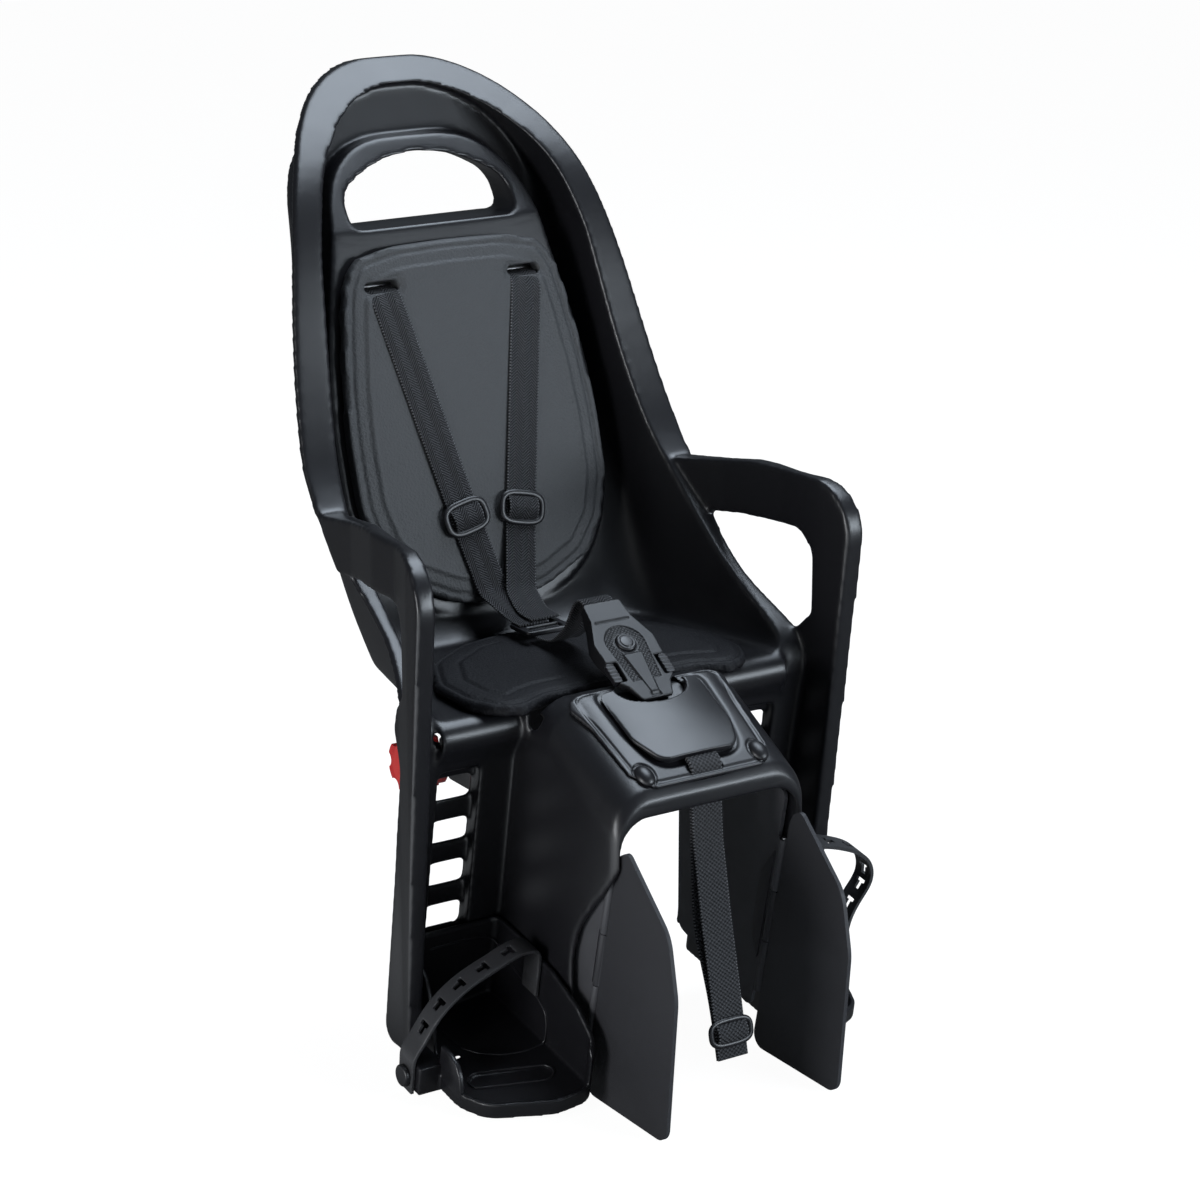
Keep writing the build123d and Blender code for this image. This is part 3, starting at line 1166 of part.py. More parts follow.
with BuildPart() as clamp_jaw:
    corners = [
        (JAW_INNER_X, JAW_TOP, 2), (JAW_OUTER_X, JAW_TOP, 2), (JAW_OUTER_X, CLAMP_LOW, 4),
        (TUBE_X + TUBE_RADIUS + JAW_LIP, -TUBE_RADIUS - JAW_LIP, 4), (TUBE_X - 4, -TUBE_RADIUS - JAW_LIP, 2),
        (TUBE_X - 4, -TUBE_RADIUS, 0), (TUBE_X, -TUBE_RADIUS, 0), (TUBE_X, TUBE_RADIUS, 0),
        (JAW_INNER_X, TUBE_RADIUS, 0),
    ]
    extrude(rounded(Plane.XZ, *corners), amount=JAW_LENGTH / 2, both=True)
    with BuildSketch(Plane.XZ):
        with Locations((TUBE_X, 0)):
            Circle(TUBE_RADIUS)
    extrude(amount=JAW_LENGTH, both=True, mode=Mode.SUBTRACT)
    with BuildSketch(Plane.YZ):
        with Locations((0, SCREW_Z)):
            Circle(SCREW_RADIUS + SCREW_FIT)
        with Locations((GUIDE_Y, SCREW_Z), (-GUIDE_Y, SCREW_Z)):
            Circle(GUIDE_RADIUS + SCREW_FIT)
    extrude(amount=REACH, mode=Mode.SUBTRACT)
export_pair(clamp_jaw.part, "clamp_jaw")

knob_end = -(KNOB_INNER_X + KNOB_LENGTH)
with BuildPart() as clamp_screw:
    with BuildSketch(Plane.YZ.offset(knob_end + KNOB_CAP)):
        with Locations((0, SCREW_Z)):
            Circle(SCREW_RADIUS)
    extrude(amount=GUIDE_END - knob_end - KNOB_CAP)
clamp_screw.part.label = "clamp_screw"
export_step(clamp_screw.part, "parts/clamp_screw.step")

with BuildPart() as clamp_knob:
    with BuildSketch(Plane.YZ.offset(knob_end)):
        with Locations((0, SCREW_Z)):
            Circle(KNOB_RADIUS)
            with PolarLocations(KNOB_RADIUS + KNOB_SCALLOP / 3, KNOB_LOBES):
                Circle(KNOB_SCALLOP, mode=Mode.SUBTRACT)
    extrude(amount=KNOB_LENGTH)
    with BuildSketch(Plane.YZ.offset(knob_end + KNOB_CAP)):
        with Locations((0, SCREW_Z)):
            Circle(SCREW_RADIUS + PIN_FIT)
    extrude(amount=KNOB_LENGTH, mode=Mode.SUBTRACT)
clamp_knob.part.label = "clamp_knob"
export_step(clamp_knob.part, "parts/clamp_knob.step")

with BuildPart() as clamp_bolts:
    under_flange = clamp_seat - FLANGE_THICK - WEB_GAP
    with BuildSketch(Plane.XY.offset(under_flange)):
        with GridLocations(2 * BOSS_X, 2 * BOSS_Y, 2, 2):
            RegularPolygon(BOLT_HEAD, 6)
    extrude(amount=-BOLT_HEAD * 0.7)
    with BuildSketch(Plane.XY.offset(under_flange - 1)):
        with GridLocations(2 * BOSS_X, 2 * BOSS_Y, 2, 2):
            Circle(BOLT_RADIUS)
    extrude(amount=BOLT_LENGTH)
clamp_bolts.part.label = "clamp_bolts"
export_step(clamp_bolts.part, "parts/clamp_bolts.step")
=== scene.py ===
# %% [markdown]
# # A child seat for the back of a bicycle
# This lesson dresses a measured model of a child seat. The rigid frame is loaded first and is never
# moved, so every new piece is drawn straight in the seat's own frame: +Z is up, +Y is to the back of the
# seat, and the child looks along -Y. Most sizes are written in millimetres, and MM turns them into metres.

# %% Load the frame
import json
from math import cos, pi, radians, sin, sqrt, tau

import bmesh
import bpy
import numpy as np
from mathutils import Matrix, Vector


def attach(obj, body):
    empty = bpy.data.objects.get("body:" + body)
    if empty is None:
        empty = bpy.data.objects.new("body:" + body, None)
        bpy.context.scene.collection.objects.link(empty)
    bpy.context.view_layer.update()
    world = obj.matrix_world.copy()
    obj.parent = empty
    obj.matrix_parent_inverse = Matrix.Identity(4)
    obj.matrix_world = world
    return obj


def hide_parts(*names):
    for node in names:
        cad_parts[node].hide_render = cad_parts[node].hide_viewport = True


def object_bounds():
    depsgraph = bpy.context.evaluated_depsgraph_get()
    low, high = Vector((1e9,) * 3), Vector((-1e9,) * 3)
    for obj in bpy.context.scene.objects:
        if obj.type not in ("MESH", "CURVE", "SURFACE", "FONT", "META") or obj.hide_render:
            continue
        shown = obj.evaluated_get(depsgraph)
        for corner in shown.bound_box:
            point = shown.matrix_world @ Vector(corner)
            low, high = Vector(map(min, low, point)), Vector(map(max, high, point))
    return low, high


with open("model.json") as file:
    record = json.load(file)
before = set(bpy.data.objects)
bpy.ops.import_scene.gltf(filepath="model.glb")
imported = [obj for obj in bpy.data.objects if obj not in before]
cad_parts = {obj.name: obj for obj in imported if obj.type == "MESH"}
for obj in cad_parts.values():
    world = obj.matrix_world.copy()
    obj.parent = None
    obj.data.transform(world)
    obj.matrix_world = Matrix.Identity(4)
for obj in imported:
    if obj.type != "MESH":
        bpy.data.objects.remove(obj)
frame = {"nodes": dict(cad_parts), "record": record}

cad_low, cad_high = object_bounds()
nodes = frame["nodes"]
scene = bpy.context.scene
MM = 0.001

# %% [markdown]
# ## Camera, floor and light
# The picture is a studio shot with a long lens, a little above the seat and from its front right corner.
# The camera could be placed by eye, but here its place and its three directions were solved from matching
# points of the two sides of the seat, so the render can be laid over the picture. The room is plain: a
# white floor that keeps a soft shadow, and large soft lamps that draw the broad sheen on black plastic.


# %% Camera
def put_in_scene(name, data):
    """A new object in the scene for a camera, a lamp or a mesh."""
    made = bpy.data.objects.new(name, data)
    scene.collection.objects.link(made)
    return made


CAMERA_PLACE = Vector((-1.212171, -1.940498, 0.823124))
CAMERA_RIGHT = Vector((0.83966, -0.54310, 0.0))
CAMERA_UP = Vector((0.15948, 0.24656, 0.95591))
camera_data = bpy.data.cameras.new("studio_camera")
camera_data.lens = 99
camera_data.sensor_width = 36
camera_data.clip_start = 0.1
camera = put_in_scene("studio_camera", camera_data)
camera_back = CAMERA_RIGHT.cross(CAMERA_UP)
turned = Matrix((CAMERA_RIGHT, CAMERA_UP, camera_back)).transposed().to_4x4()
camera.matrix_world = Matrix.Translation(CAMERA_PLACE) @ turned
scene.camera = camera
scene.view_settings.view_transform = "Standard"
print("camera looks along", [round(v, 3) for v in -camera_back])


# %% Helpers for node materials
def new_material(name):
    """A material with an empty node tree, its tree and its output node."""
    material = bpy.data.materials.new(name)
    material.use_nodes = True
    tree = material.node_tree
    tree.nodes.clear()
    output = tree.nodes.new("ShaderNodeOutputMaterial")
    return material, tree, output


def set_socket(tree, socket, value):
    """Set a socket to a value, or link it to another socket."""
    if isinstance(value, bpy.types.NodeSocket):
        tree.links.new(value, socket)
    else:
        socket.default_value = value


def node(tree, kind, **inputs):
    """A shader node with some of its inputs set, by name or by number, as in i0."""
    made = tree.nodes.new("ShaderNode" + kind)
    for key, value in inputs.items():
        place = int(key[1:]) if key[1:].isdigit() else key.replace("_", " ")
        set_socket(tree, made.inputs[place], value)
    return made


def calc(tree, kind, first, second=0.0):
    """Socket with the result of one calculation."""
    made = node(tree, "Math", i0=first, i1=second)
    made.operation = kind
    return made.outputs[0]


def rescaled(tree, value, **ends):
    """Socket with a value carried from one range to another."""
    return node(tree, "MapRange", Value=value, **ends).outputs[0]


def colour_between(tree, share, first, second):
    """Socket with a colour between two others."""
    made = node(tree, "Mix", Factor=share)
    made.data_type = "RGBA"
    set_socket(tree, made.inputs[6], first)
    set_socket(tree, made.inputs[7], second)
    return made.outputs[2]


# %% Floor
FLOOR_Z = cad_low.z - 0.001
FLOOR_HALF = 6
FLOOR_WHITE = 0.84
corners = [(FLOOR_HALF * x, FLOOR_HALF * y, FLOOR_Z) for x, y in ((-1, -1), (1, -1), (1, 1), (-1, 1))]
floor_mesh = bpy.data.meshes.new("studio_floor")
floor_mesh.from_pydata(corners, [], [(0, 1, 2, 3)])
floor = put_in_scene("studio_floor", floor_mesh)

floor_paint, tree, output = new_material("floor_paint")
path = node(tree, "LightPath")
matt = node(tree, "BsdfDiffuse", Color=(0.9, 0.9, 0.9, 1))
spot = node(tree, "SeparateXYZ", Vector=node(tree, "TexCoord").outputs["Object"])
# Glossy rays see the floor glow instead of the lit floor. This is a painted reflection: dim overall, with a
# brighter painted glow patch to the front left that lights up the reflections on the seat's left side.
from_left = rescaled(tree, spot.outputs[0], From_Min=-0.20, From_Max=-0.45)
from_front = rescaled(tree, spot.outputs[1], From_Min=0.35, From_Max=0.05)
painted_glow_strength = rescaled(tree, calc(tree, "MULTIPLY", from_left, from_front), To_Min=0.12, To_Max=1.80)
painted_reflection_glow = node(tree, "Emission", Color=(0.9, 0.95, 1, 1), Strength=painted_glow_strength)
glow = node(tree, "Emission", Color=(1, 1, 1, 1), Strength=1.15)
mirrored = node(tree, "MixShader", i0=path.outputs["Is Glossy Ray"], i1=matt.outputs[0], i2=painted_reflection_glow.outputs[0])
share = calc(tree, "MULTIPLY", path.outputs["Is Camera Ray"], FLOOR_WHITE)
mixed = node(tree, "MixShader", i0=share, i1=mirrored.outputs[0], i2=glow.outputs[0])
tree.links.new(mixed.outputs[0], output.inputs[0])
floor_mesh.materials.append(floor_paint)
print("floor at", round(FLOOR_Z, 4))

# %% Room light
ROOM_LIGHT = 0.10
world = bpy.data.worlds.new("studio_room")
world.use_nodes = True
tree = world.node_tree
tree.nodes.clear()
output = tree.nodes.new("ShaderNodeOutputWorld")
path = node(tree, "LightPath")
room = node(tree, "Background", Color=(0.8, 0.9, 1.0, 1), Strength=ROOM_LIGHT)
white = node(tree, "Background", Color=(1, 1, 1, 1), Strength=1.0)
mixed = node(tree, "MixShader", i0=path.outputs["Is Camera Ray"], i1=room.outputs[0], i2=white.outputs[0])
tree.links.new(mixed.outputs[0], output.inputs[0])
scene.world = world
print("room light", ROOM_LIGHT)


# %% Lamps
def soft_lamp(name, place, aim, size, watts, colour):
    """A soft lamp, wide and high as its size says, that looks at a point."""
    data = bpy.data.lights.new(name, "AREA")
    data.shape = "RECTANGLE"
    data.size, data.size_y = size
    data.energy = watts
    data.color = colour
    lamp = put_in_scene(name, data)
    lamp.location = place
    lamp.rotation_euler = (Vector(aim) - Vector(place)).to_track_quat("-Z", "Y").to_euler()
    print(name, watts, "watts")


soft_lamp("left_lamp", (-1.7, -0.5, 0.15), (0, -0.05, 0.0), (0.6, 0.7), 17, (0.95, 0.97, 1.0))
soft_lamp("top_lamp", (0.75, 0.1, 2.1), (0, -0.02, 0.16), (1.5, 1.2), 50, (0.78, 0.88, 1.0))
soft_lamp("front_lamp", (1.05, -1.75, 0.42), (0, 0, 0.2), (1.1, 0.55), 30, (0.82, 0.91, 1.0))

# %% [markdown]
# ## Moulded plastic
# The shell is injection moulded in black plastic. Its mould is etched with a very fine grain, so the sheen
# is broad and soft and never mirror-like. A single grey would look like paint, so the finish is built up:
# a fine grain in the bump, slow clouds in the roughness as from handling, and slightly paler, rubbed edges
# where the surface bends sharply.

# %% Plastic finishes
CLOUD_SCALE = 14.0
CLOUD_SPREAD = 0.06
RUBBED_FROM, RUBBED_TO = 0.52, 0.62


def plastic(name, colour, edge, roughness, grain, depth, sheen=0.5, metal=0.0):
    """Moulded plastic: fine grain, cloudy roughness and rubbed edges."""
    material, tree, output = new_material(name)
    place = node(tree, "TexCoord").outputs["Object"]
    grains = node(tree, "TexNoise", Vector=place, Scale=grain, Detail=2.0, Roughness=0.55)
    clouds = node(tree, "TexNoise", Vector=place, Scale=CLOUD_SCALE, Detail=3.0, Roughness=0.6).outputs[0]
    rough = rescaled(tree, clouds, To_Min=roughness - CLOUD_SPREAD, To_Max=roughness + CLOUD_SPREAD)
    bends = node(tree, "NewGeometry").outputs["Pointiness"]
    worn = rescaled(tree, bends, From_Min=RUBBED_FROM, From_Max=RUBBED_TO)
    rubbed = calc(tree, "MULTIPLY", worn, clouds)
    tint = colour_between(tree, rubbed, (*colour, 1), (*edge, 1))
    bump = node(tree, "Bump", Height=grains.outputs[0], Strength=depth, Distance=0.0002)
    shader = node(tree, "BsdfPrincipled", Base_Color=tint, Roughness=rough, Normal=bump.outputs[0],
                  Specular_IOR_Level=sheen, Metallic=metal)
    tree.links.new(shader.outputs[0], output.inputs[0])
    print("finish", name)
    return material


shell_plastic = plastic("shell_plastic", (0.0075, 0.0074, 0.0090), (0.022, 0.022, 0.025), 0.34, 2600, 0.25)
gloss_black = plastic("gloss_black", (0.0075, 0.0074, 0.0090), (0.025, 0.025, 0.028), 0.37, 2200, 0.15)
guard_grey = plastic("guard_grey", (0.022, 0.022, 0.025), (0.075, 0.075, 0.08), 0.55, 1800, 0.5, sheen=0.35)
red_plastic = plastic("red_plastic", (0.50, 0.02, 0.02), (0.65, 0.06, 0.05), 0.3, 2200, 0.15)
rubber_black = plastic("rubber_black", (0.030, 0.030, 0.032), (0.06, 0.06, 0.06), 0.46, 1500, 0.4)
powder_coat = plastic("powder_coat", (0.015, 0.015, 0.016), (0.05, 0.05, 0.05), 0.5, 1600, 0.6)
zinc_steel = plastic("zinc_steel", (0.5, 0.5, 0.5), (0.7, 0.7, 0.7), 0.35, 900, 0.2, metal=1.0)

# %% [markdown]
# ## Rounded mouldings from the measured solids
# The measured solids have the right size and place, but their edges are knife sharp. A bevel would have to
# guess at every edge where curved faces meet. Rebuilding the solid from small cubes and then relaxing the
# surface rounds all edges alike, the way plastic fills a mould, so a copy of the mesh is treated that way.


# %% Modifier helpers
def settle(piece):
    """Keep what the modifiers of a piece make as its own mesh."""
    bpy.context.view_layer.update()
    made = bpy.data.meshes.new_from_object(piece.evaluated_get(bpy.context.evaluated_depsgraph_get()))
    made.validate()
    piece.modifiers.clear()
    piece.data = made


def soften_edges(piece, width, segments, angle):
    """Narrow bevel on the edges that bend by more than an angle in degrees."""
    bevel = piece.modifiers.new("bevel", "BEVEL")
    bevel.width = width
    bevel.segments = segments
    bevel.limit_method = "ANGLE"
    bevel.angle_limit = radians(angle)


def rebuild(piece, cube):
    """Build the surface of a piece anew from small cubes."""
    cubes = piece.modifiers.new("cubes", "REMESH")
    cubes.mode = "VOXEL"
    cubes.voxel_size = cube


def relax(piece, rounds):
    """Even out the surface of a piece."""
    even = piece.modifiers.new("even", "SMOOTH")
    even.factor = 0.5
    even.iterations = rounds


# %% Rounding helper
JOIN = 1e-6


def closed_copy(node_name, piece_name):
    """A copy of a solid's mesh with its split corners joined again."""
    mesh = nodes[node_name].data.copy()
    joined = bmesh.new()
    joined.from_mesh(mesh)
    bmesh.ops.remove_doubles(joined, verts=joined.verts, dist=JOIN)
    joined.to_mesh(mesh)
    joined.free()
    return put_in_scene(piece_name, mesh)


def rounded_copy(node_name, piece_name, cube, rounds, most, chamfer=0.0):
    """The solid rebuilt from small cubes and relaxed, with at most so many triangles."""
    piece = closed_copy(node_name, piece_name)
    if chamfer:
        soften_edges(piece, chamfer, 2, 40)
    rebuild(piece, cube)
    relax(piece, rounds)
    settle(piece)
    triangles = 2 * len(piece.data.polygons)
    if triangles > most:
        thin = piece.modifiers.new("thin", "DECIMATE")
        thin.ratio = most / triangles
        relax(piece, 3)
        settle(piece)
    return piece


# %% Shell
def finish_piece(piece, body, material, slot, *stands_for):
    """Give a new piece its finish, its body and the nodes that it stands for."""
    piece.data.materials.clear()
    piece.data.materials.append(material)
    piece.data.shade_smooth()
    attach(piece, body)
    if stands_for:
        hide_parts(*stands_for)


SHELL_CUBE = 0.0016
shell = rounded_copy("seat_shell", "moulded_shell", SHELL_CUBE, 14, 197000, chamfer=0.0010)
finish_piece(shell, "seat", shell_plastic, "shell_plastic", "seat_shell")
print("shell has", len(shell.data.polygons), "faces")

# %% [markdown]
# ## Working in a piece's own flat frame
# Seams, grooves and lips are easiest to draw on a flat sheet. Each moulding therefore gets a small frame of
# its own: a middle point, a direction across, one along and one out of the surface. A rule then says how far
# each point of the surface rises or sinks, so every groove is real geometry that catches the light.


# %% Flat frames
def flat_frame(middle, across, along):
    """Middle point in millimetres and three directions: across, along and out of the surface."""
    across = np.array(across, float) / np.linalg.norm(across)
    along = np.array(along, float) / np.linalg.norm(along)
    return np.array(middle, float), np.stack([across, along, np.cross(across, along)])


def from_flat(frame_here, points):
    """Points of a flat frame in the seat's own frame."""
    middle, axes = frame_here
    return np.asarray(points, float) @ axes + middle


def spots(piece):
    """Corner points of a piece in millimetres."""
    flat = np.empty(3 * len(piece.data.vertices))
    piece.data.vertices.foreach_get("co", flat)
    return flat.reshape(-1, 3) / MM


def put_spots(piece, points):
    """Move the corner points of a piece."""
    piece.data.vertices.foreach_set("co", (points * MM).ravel())
    piece.data.update()


def press(piece, frame_here, rule):
    """Raise or sink the surface of a piece by a rule of its place in a flat frame."""
    middle, axes = frame_here
    place = (spots(piece) - middle) @ axes.T
    place[:, 2] += rule(place[:, 0], place[:, 1], place[:, 2])
    put_spots(piece, from_flat(frame_here, place))


# %% Pressed lines
def gap_to(outline, u, v):
    """Distance of points to an outline, in parts that spare memory."""
    nearest = np.empty(len(u))
    part_size = 4000
    for start in range(0, len(u), part_size):
        part = slice(start, start + part_size)
        gaps = (u[part, None] - outline[None, :, 0]) ** 2 + (v[part, None] - outline[None, :, 1]) ** 2
        nearest[part] = np.sqrt(gaps.min(axis=1))
    return nearest


def bell(value, width):
    """Smooth bump that falls from one to nothing."""
    return np.exp(-((value / width) ** 2))


def step_up(value, start, end):
    """Smooth step from nothing to one."""
    share = np.clip((value - start) / (end - start), 0, 1)
    return share * share * (3 - 2 * share)


# %% Outlines
CORNER_REACH = 14


def run_along(points):
    """Way run along a line up to each of its points."""
    return np.concatenate([[0], np.cumsum(np.linalg.norm(np.diff(points, axis=0), axis=1))])


def sampled(points, run, places):
    """Points of a line at chosen places of its run."""
    return np.stack([np.interp(places, run, column) for column in points.T], axis=1)


def blurred(points, weights):
    """Points of a line, each mixed with its neighbours."""
    return np.stack([np.convolve(column, weights / weights.sum(), "valid") for column in points.T], axis=1)


def closed_outline(half, spacing):
    """Smooth closed outline from its right half, top to bottom, with evenly spaced points."""
    whole = half + [(-u, v) for u, v in reversed(half[1:-1])]
    points = np.array(whole + whole[:1], float)
    run = run_along(points)
    even = sampled(points, run, np.linspace(0, run[-1], int(run[-1] / spacing), endpoint=False))
    reach = int(CORNER_REACH / spacing)
    return blurred(np.concatenate([even[-reach:], even, even[:reach]]), np.hanning(2 * reach + 1))


# %% [markdown]
# ## Foam pads
# Both pads are cut from closed-cell foam with a leather-like skin and pressed with a border and a raised
# middle. A pad is not a slab: its skin is tight and the foam swells a little under it. A flat blank is cut
# to the outline, its skin is blown up for a few frames as cloth under pressure, and the lines are pressed
# into it afterwards, as a warm die does.


# %% Foam finish
def foam(name, colour, light, sheen):
    """Foam with a fine leathery skin."""
    material, tree, output = new_material(name)
    place = node(tree, "TexCoord").outputs["Object"]
    cells = node(tree, "TexVoronoi", Vector=place, Scale=520.0)
    pores = node(tree, "TexNoise", Vector=place, Scale=1500.0, Detail=3.0, Roughness=0.6)
    clouds = node(tree, "TexNoise", Vector=place, Scale=18.0, Detail=2.0).outputs[0]
    skin = calc(tree, "ADD", cells.outputs[0], pores.outputs[0])
    tint = colour_between(tree, clouds, (*colour, 1), (*light, 1))
    rough = rescaled(tree, clouds, To_Min=0.48, To_Max=0.62)
    bump = node(tree, "Bump", Height=skin, Strength=0.55, Distance=0.0006)
    shader = node(tree, "BsdfPrincipled", Base_Color=tint, Roughness=rough, Normal=bump.outputs[0],
                  Specular_IOR_Level=sheen)
    tree.links.new(shader.outputs[0], output.inputs[0])
    print("finish", name)
    return material


# The back pad's foam is paler and has more sheen than the seat pad's. This is partly its own grey and partly
# painted light, which keeps the back pad bright under the front lamp.
back_foam_partly_painted_light = foam("back_foam_partly_painted_light", (0.022, 0.023, 0.025), (0.036, 0.037, 0.039), 0.6)
seat_foam = foam("seat_foam", (0.004, 0.004, 0.005), (0.007, 0.007, 0.009), 0.2)


# %% Helpers for new shapes
def piece_from_mesh(name, mesh):
    """A piece from a mesh, with all its faces turned outwards."""
    whole = bmesh.new()
    whole.from_mesh(mesh)
    bmesh.ops.recalc_face_normals(whole, faces=whole.faces)
    whole.to_mesh(mesh)
    whole.free()
    return put_in_scene(name, mesh)


def piece_from_shape(name, shape):
    """A piece from a shape that was built face by face."""
    mesh = bpy.data.meshes.new(name)
    shape.to_mesh(mesh)
    shape.free()
    return piece_from_mesh(name, mesh)


def slab(corners, shift):
    """Shape between a flat ring of corner points in millimetres and the same ring shifted."""
    shape = bmesh.new()
    ring = [shape.verts.new([value * MM for value in corner]) for corner in corners]
    grown = bmesh.ops.extrude_face_region(shape, geom=[shape.faces.new(ring)])["geom"]
    moved = [item for item in grown if isinstance(item, bmesh.types.BMVert)]
    bmesh.ops.translate(shape, verts=moved, vec=[value * MM for value in shift])
    return shape


def ring_wall(shape, rings):
    """Add stacked rings of points in millimetres to a shape, with the wall between them."""
    made = [[shape.verts.new(tuple(point * MM)) for point in ring] for ring in rings]
    for low, high in zip(made, made[1:]):
        for k in range(len(low)):
            m = (k + 1) % len(low)
            shape.faces.new((low[k], low[m], high[m], high[k]))
    return made


# %% Blank and swelling of a pad
PAD_CUBE = 0.005
SNAP = 2.4
PRESSURE = 4.0
FRAMES = 20
MOST_SWELL = 1.2


def pad_blank(name, outline, thick):
    """Flat blank of a pad with small even faces and its border drawn onto the outline."""
    piece = piece_from_shape(name, slab([(u, v, 0) for u, v in outline], (0, 0, thick)))
    rebuild(piece, PAD_CUBE)
    settle(piece)
    place = spots(piece)
    gaps = np.hypot(place[:, None, 0] - outline[None, :, 0], place[:, None, 1] - outline[None, :, 1])
    border = gaps.min(axis=1) < SNAP
    place[border, :2] = outline[gaps.argmin(axis=1)[border]]
    put_spots(piece, place)
    return piece


def swell(piece):
    """Blow the skin of a pad up as cloth for a few frames, moving no point further than a limit."""
    before = spots(piece)
    skin = piece.modifiers.new("skin", "CLOTH")
    skin.settings.use_pressure = True
    skin.settings.uniform_pressure_force = PRESSURE
    skin.settings.effector_weights.gravity = 0
    for frame_number in range(1, FRAMES + 1):
        scene.frame_set(frame_number)
    settle(piece)
    scene.frame_set(1)
    move = spots(piece) - before
    length = np.linalg.norm(move, axis=1)
    move *= np.minimum(1, MOST_SWELL / np.maximum(length, 1e-9))[:, None]
    put_spots(piece, before + move)


def make_pad(name, outline, thick, frame_here, rule, material, node_name):
    """A swollen pad with its pressed lines, put in its place."""
    piece = pad_blank(name, outline, thick)
    swell(piece)
    finer = piece.modifiers.new("finer", "SUBSURF")
    finer.levels = 2
    settle(piece)
    press(piece, flat_frame((0, 0, 0), (1, 0, 0), (0, 1, 0)), rule)
    put_spots(piece, from_flat(frame_here, spots(piece)))
    finish_piece(piece, "seat", material, "foam", node_name)
    return piece


# %% [markdown]
# ## Back pad
# The back pad leans with the backrest, and the two shoulder straps come out of it through dished slots. It
# could be drawn leaning, but a flat drawing is easier to measure, so it is made flat and tilted as a whole.
# The slots go through the whole pad, so they are cut with a cutter instead of being pressed.

# %% Outline and lines of the back pad
BACK_PAD_HALF = [
    (0, 362), (45, 361), (80, 354), (92, 335), (98, 305), (104, 265), (107, 225), (106.5, 180), (97, 147),
    (76, 121), (40, 104), (0, 99),
]
BACK_LOW_Z = 99
BACK_LOW_Y = 63
BACK_DEPTH = 10.6
BACK_SLOPE = 0.2956
BACK_STRETCH = sqrt(1 + BACK_SLOPE ** 2)
BACK_THICK = BACK_DEPTH / BACK_STRETCH
SLOT_PLACE = (60.5, (332 - BACK_LOW_Z) * BACK_STRETCH)
SLOT_HALF = 10
SLOT_ROUND = 4.5
back_outline = closed_outline([(x, (z - BACK_LOW_Z) * BACK_STRETCH) for x, z in BACK_PAD_HALF], 2.0)
back_frame = flat_frame((0, BACK_LOW_Y + BACK_DEPTH, BACK_LOW_Z), (1, 0, 0), (0, BACK_SLOPE, 1))


def slot_gap(u, v):
    """Distance to the nearer strap slot of the back pad."""
    past_end = np.maximum(np.abs(np.abs(u) - SLOT_PLACE[0]) - SLOT_HALF, 0)
    return np.hypot(past_end, v - SLOT_PLACE[1]) - SLOT_ROUND


def back_rule(u, v, w):
    """Border ridge, groove, raised middle and dished slots of the back pad."""
    edge = gap_to(back_outline, u, v)
    lines = -1.4 * bell(edge - 7.5, 1.5) + 1.0 * step_up(edge, 16.5, 19.5) + 0.5 * bell(edge - 20.5, 1.6)
    lines -= 1.6 * bell(np.maximum(slot_gap(u, v), 0), 3.5)
    return lines * step_up(w, 0.5 * BACK_THICK, 0.8 * BACK_THICK)


print("outline of the back pad has", len(back_outline), "points")

# %% Back pad and its slots
SIDES = {"left": 1, "right": -1}
ROUND_STEPS = 32
CUT_FROM, CUT_TO = -6, 24
back_pad = make_pad("back_cushion", back_outline, BACK_THICK, back_frame, back_rule, back_foam_partly_painted_light, "back_pad")
cutter_shape = bmesh.new()
for sign in SIDES.values():
    rim = []
    for k in range(ROUND_STEPS):
        angle = tau * k / ROUND_STEPS
        end = SLOT_HALF if cos(angle) > 0 else -SLOT_HALF
        rim.append((sign * SLOT_PLACE[0] + SLOT_ROUND * cos(angle) + end,
                    SLOT_PLACE[1] + SLOT_ROUND * sin(angle)))
    rings = [from_flat(back_frame, [(u, v, lift) for u, v in rim]) for lift in (CUT_FROM, CUT_TO)]
    low, high = ring_wall(cutter_shape, rings)
    cutter_shape.faces.new(low[::-1])
    cutter_shape.faces.new(high)
cutter = piece_from_shape("slot_cutter", cutter_shape)
opening = back_pad.modifiers.new("opening", "BOOLEAN")
opening.operation = "DIFFERENCE"
opening.object = cutter
settle(back_pad)
bpy.data.objects.remove(cutter)
back_pad.data.shade_smooth()
print("back pad has", len(back_pad.data.polygons), "faces")

# %% [markdown]
# ## Seat pad
# The seat pad lies flat in the pan, with a border and two curved lines for the thighs. A separate groove
# could be modelled for each line, but all of them follow the outline, so the distance to it draws them.

# %% Seat pad
SEAT_PAD_HALF = [
    (0, 46), (56, 38), (98, 10), (119, -35), (119, -75), (106, -100), (88, -108), (75, -103), (62, -96),
    (30, -94.5), (0, -94.5),
]
SEAT_THICK = 9.0
seat_outline = closed_outline(SEAT_PAD_HALF, 2.0)
seat_frame = flat_frame((0, 0, 78.3), (1, 0, 0), (0, 1, 0))


def seat_rule(u, v, w):
    """Border ridge and inner curves of the seat pad."""
    edge = gap_to(seat_outline, u, v)
    lines = -1.3 * bell(edge - 7.0, 1.4) + 0.4 * bell(edge - 3.8, 1.8)
    lobes = step_up(np.abs(u), 26, 40)
    lines += lobes * (0.8 * step_up(edge, 22, 25) - 0.5 * bell(edge - 21.5, 1.6))
    return lines * step_up(w, 0.5 * SEAT_THICK, 0.8 * SEAT_THICK)


seat_pad = make_pad("seat_cushion", seat_outline, SEAT_THICK, seat_frame, seat_rule, seat_foam, "seat_pad")
print("seat pad has", len(seat_pad.data.polygons), "faces")

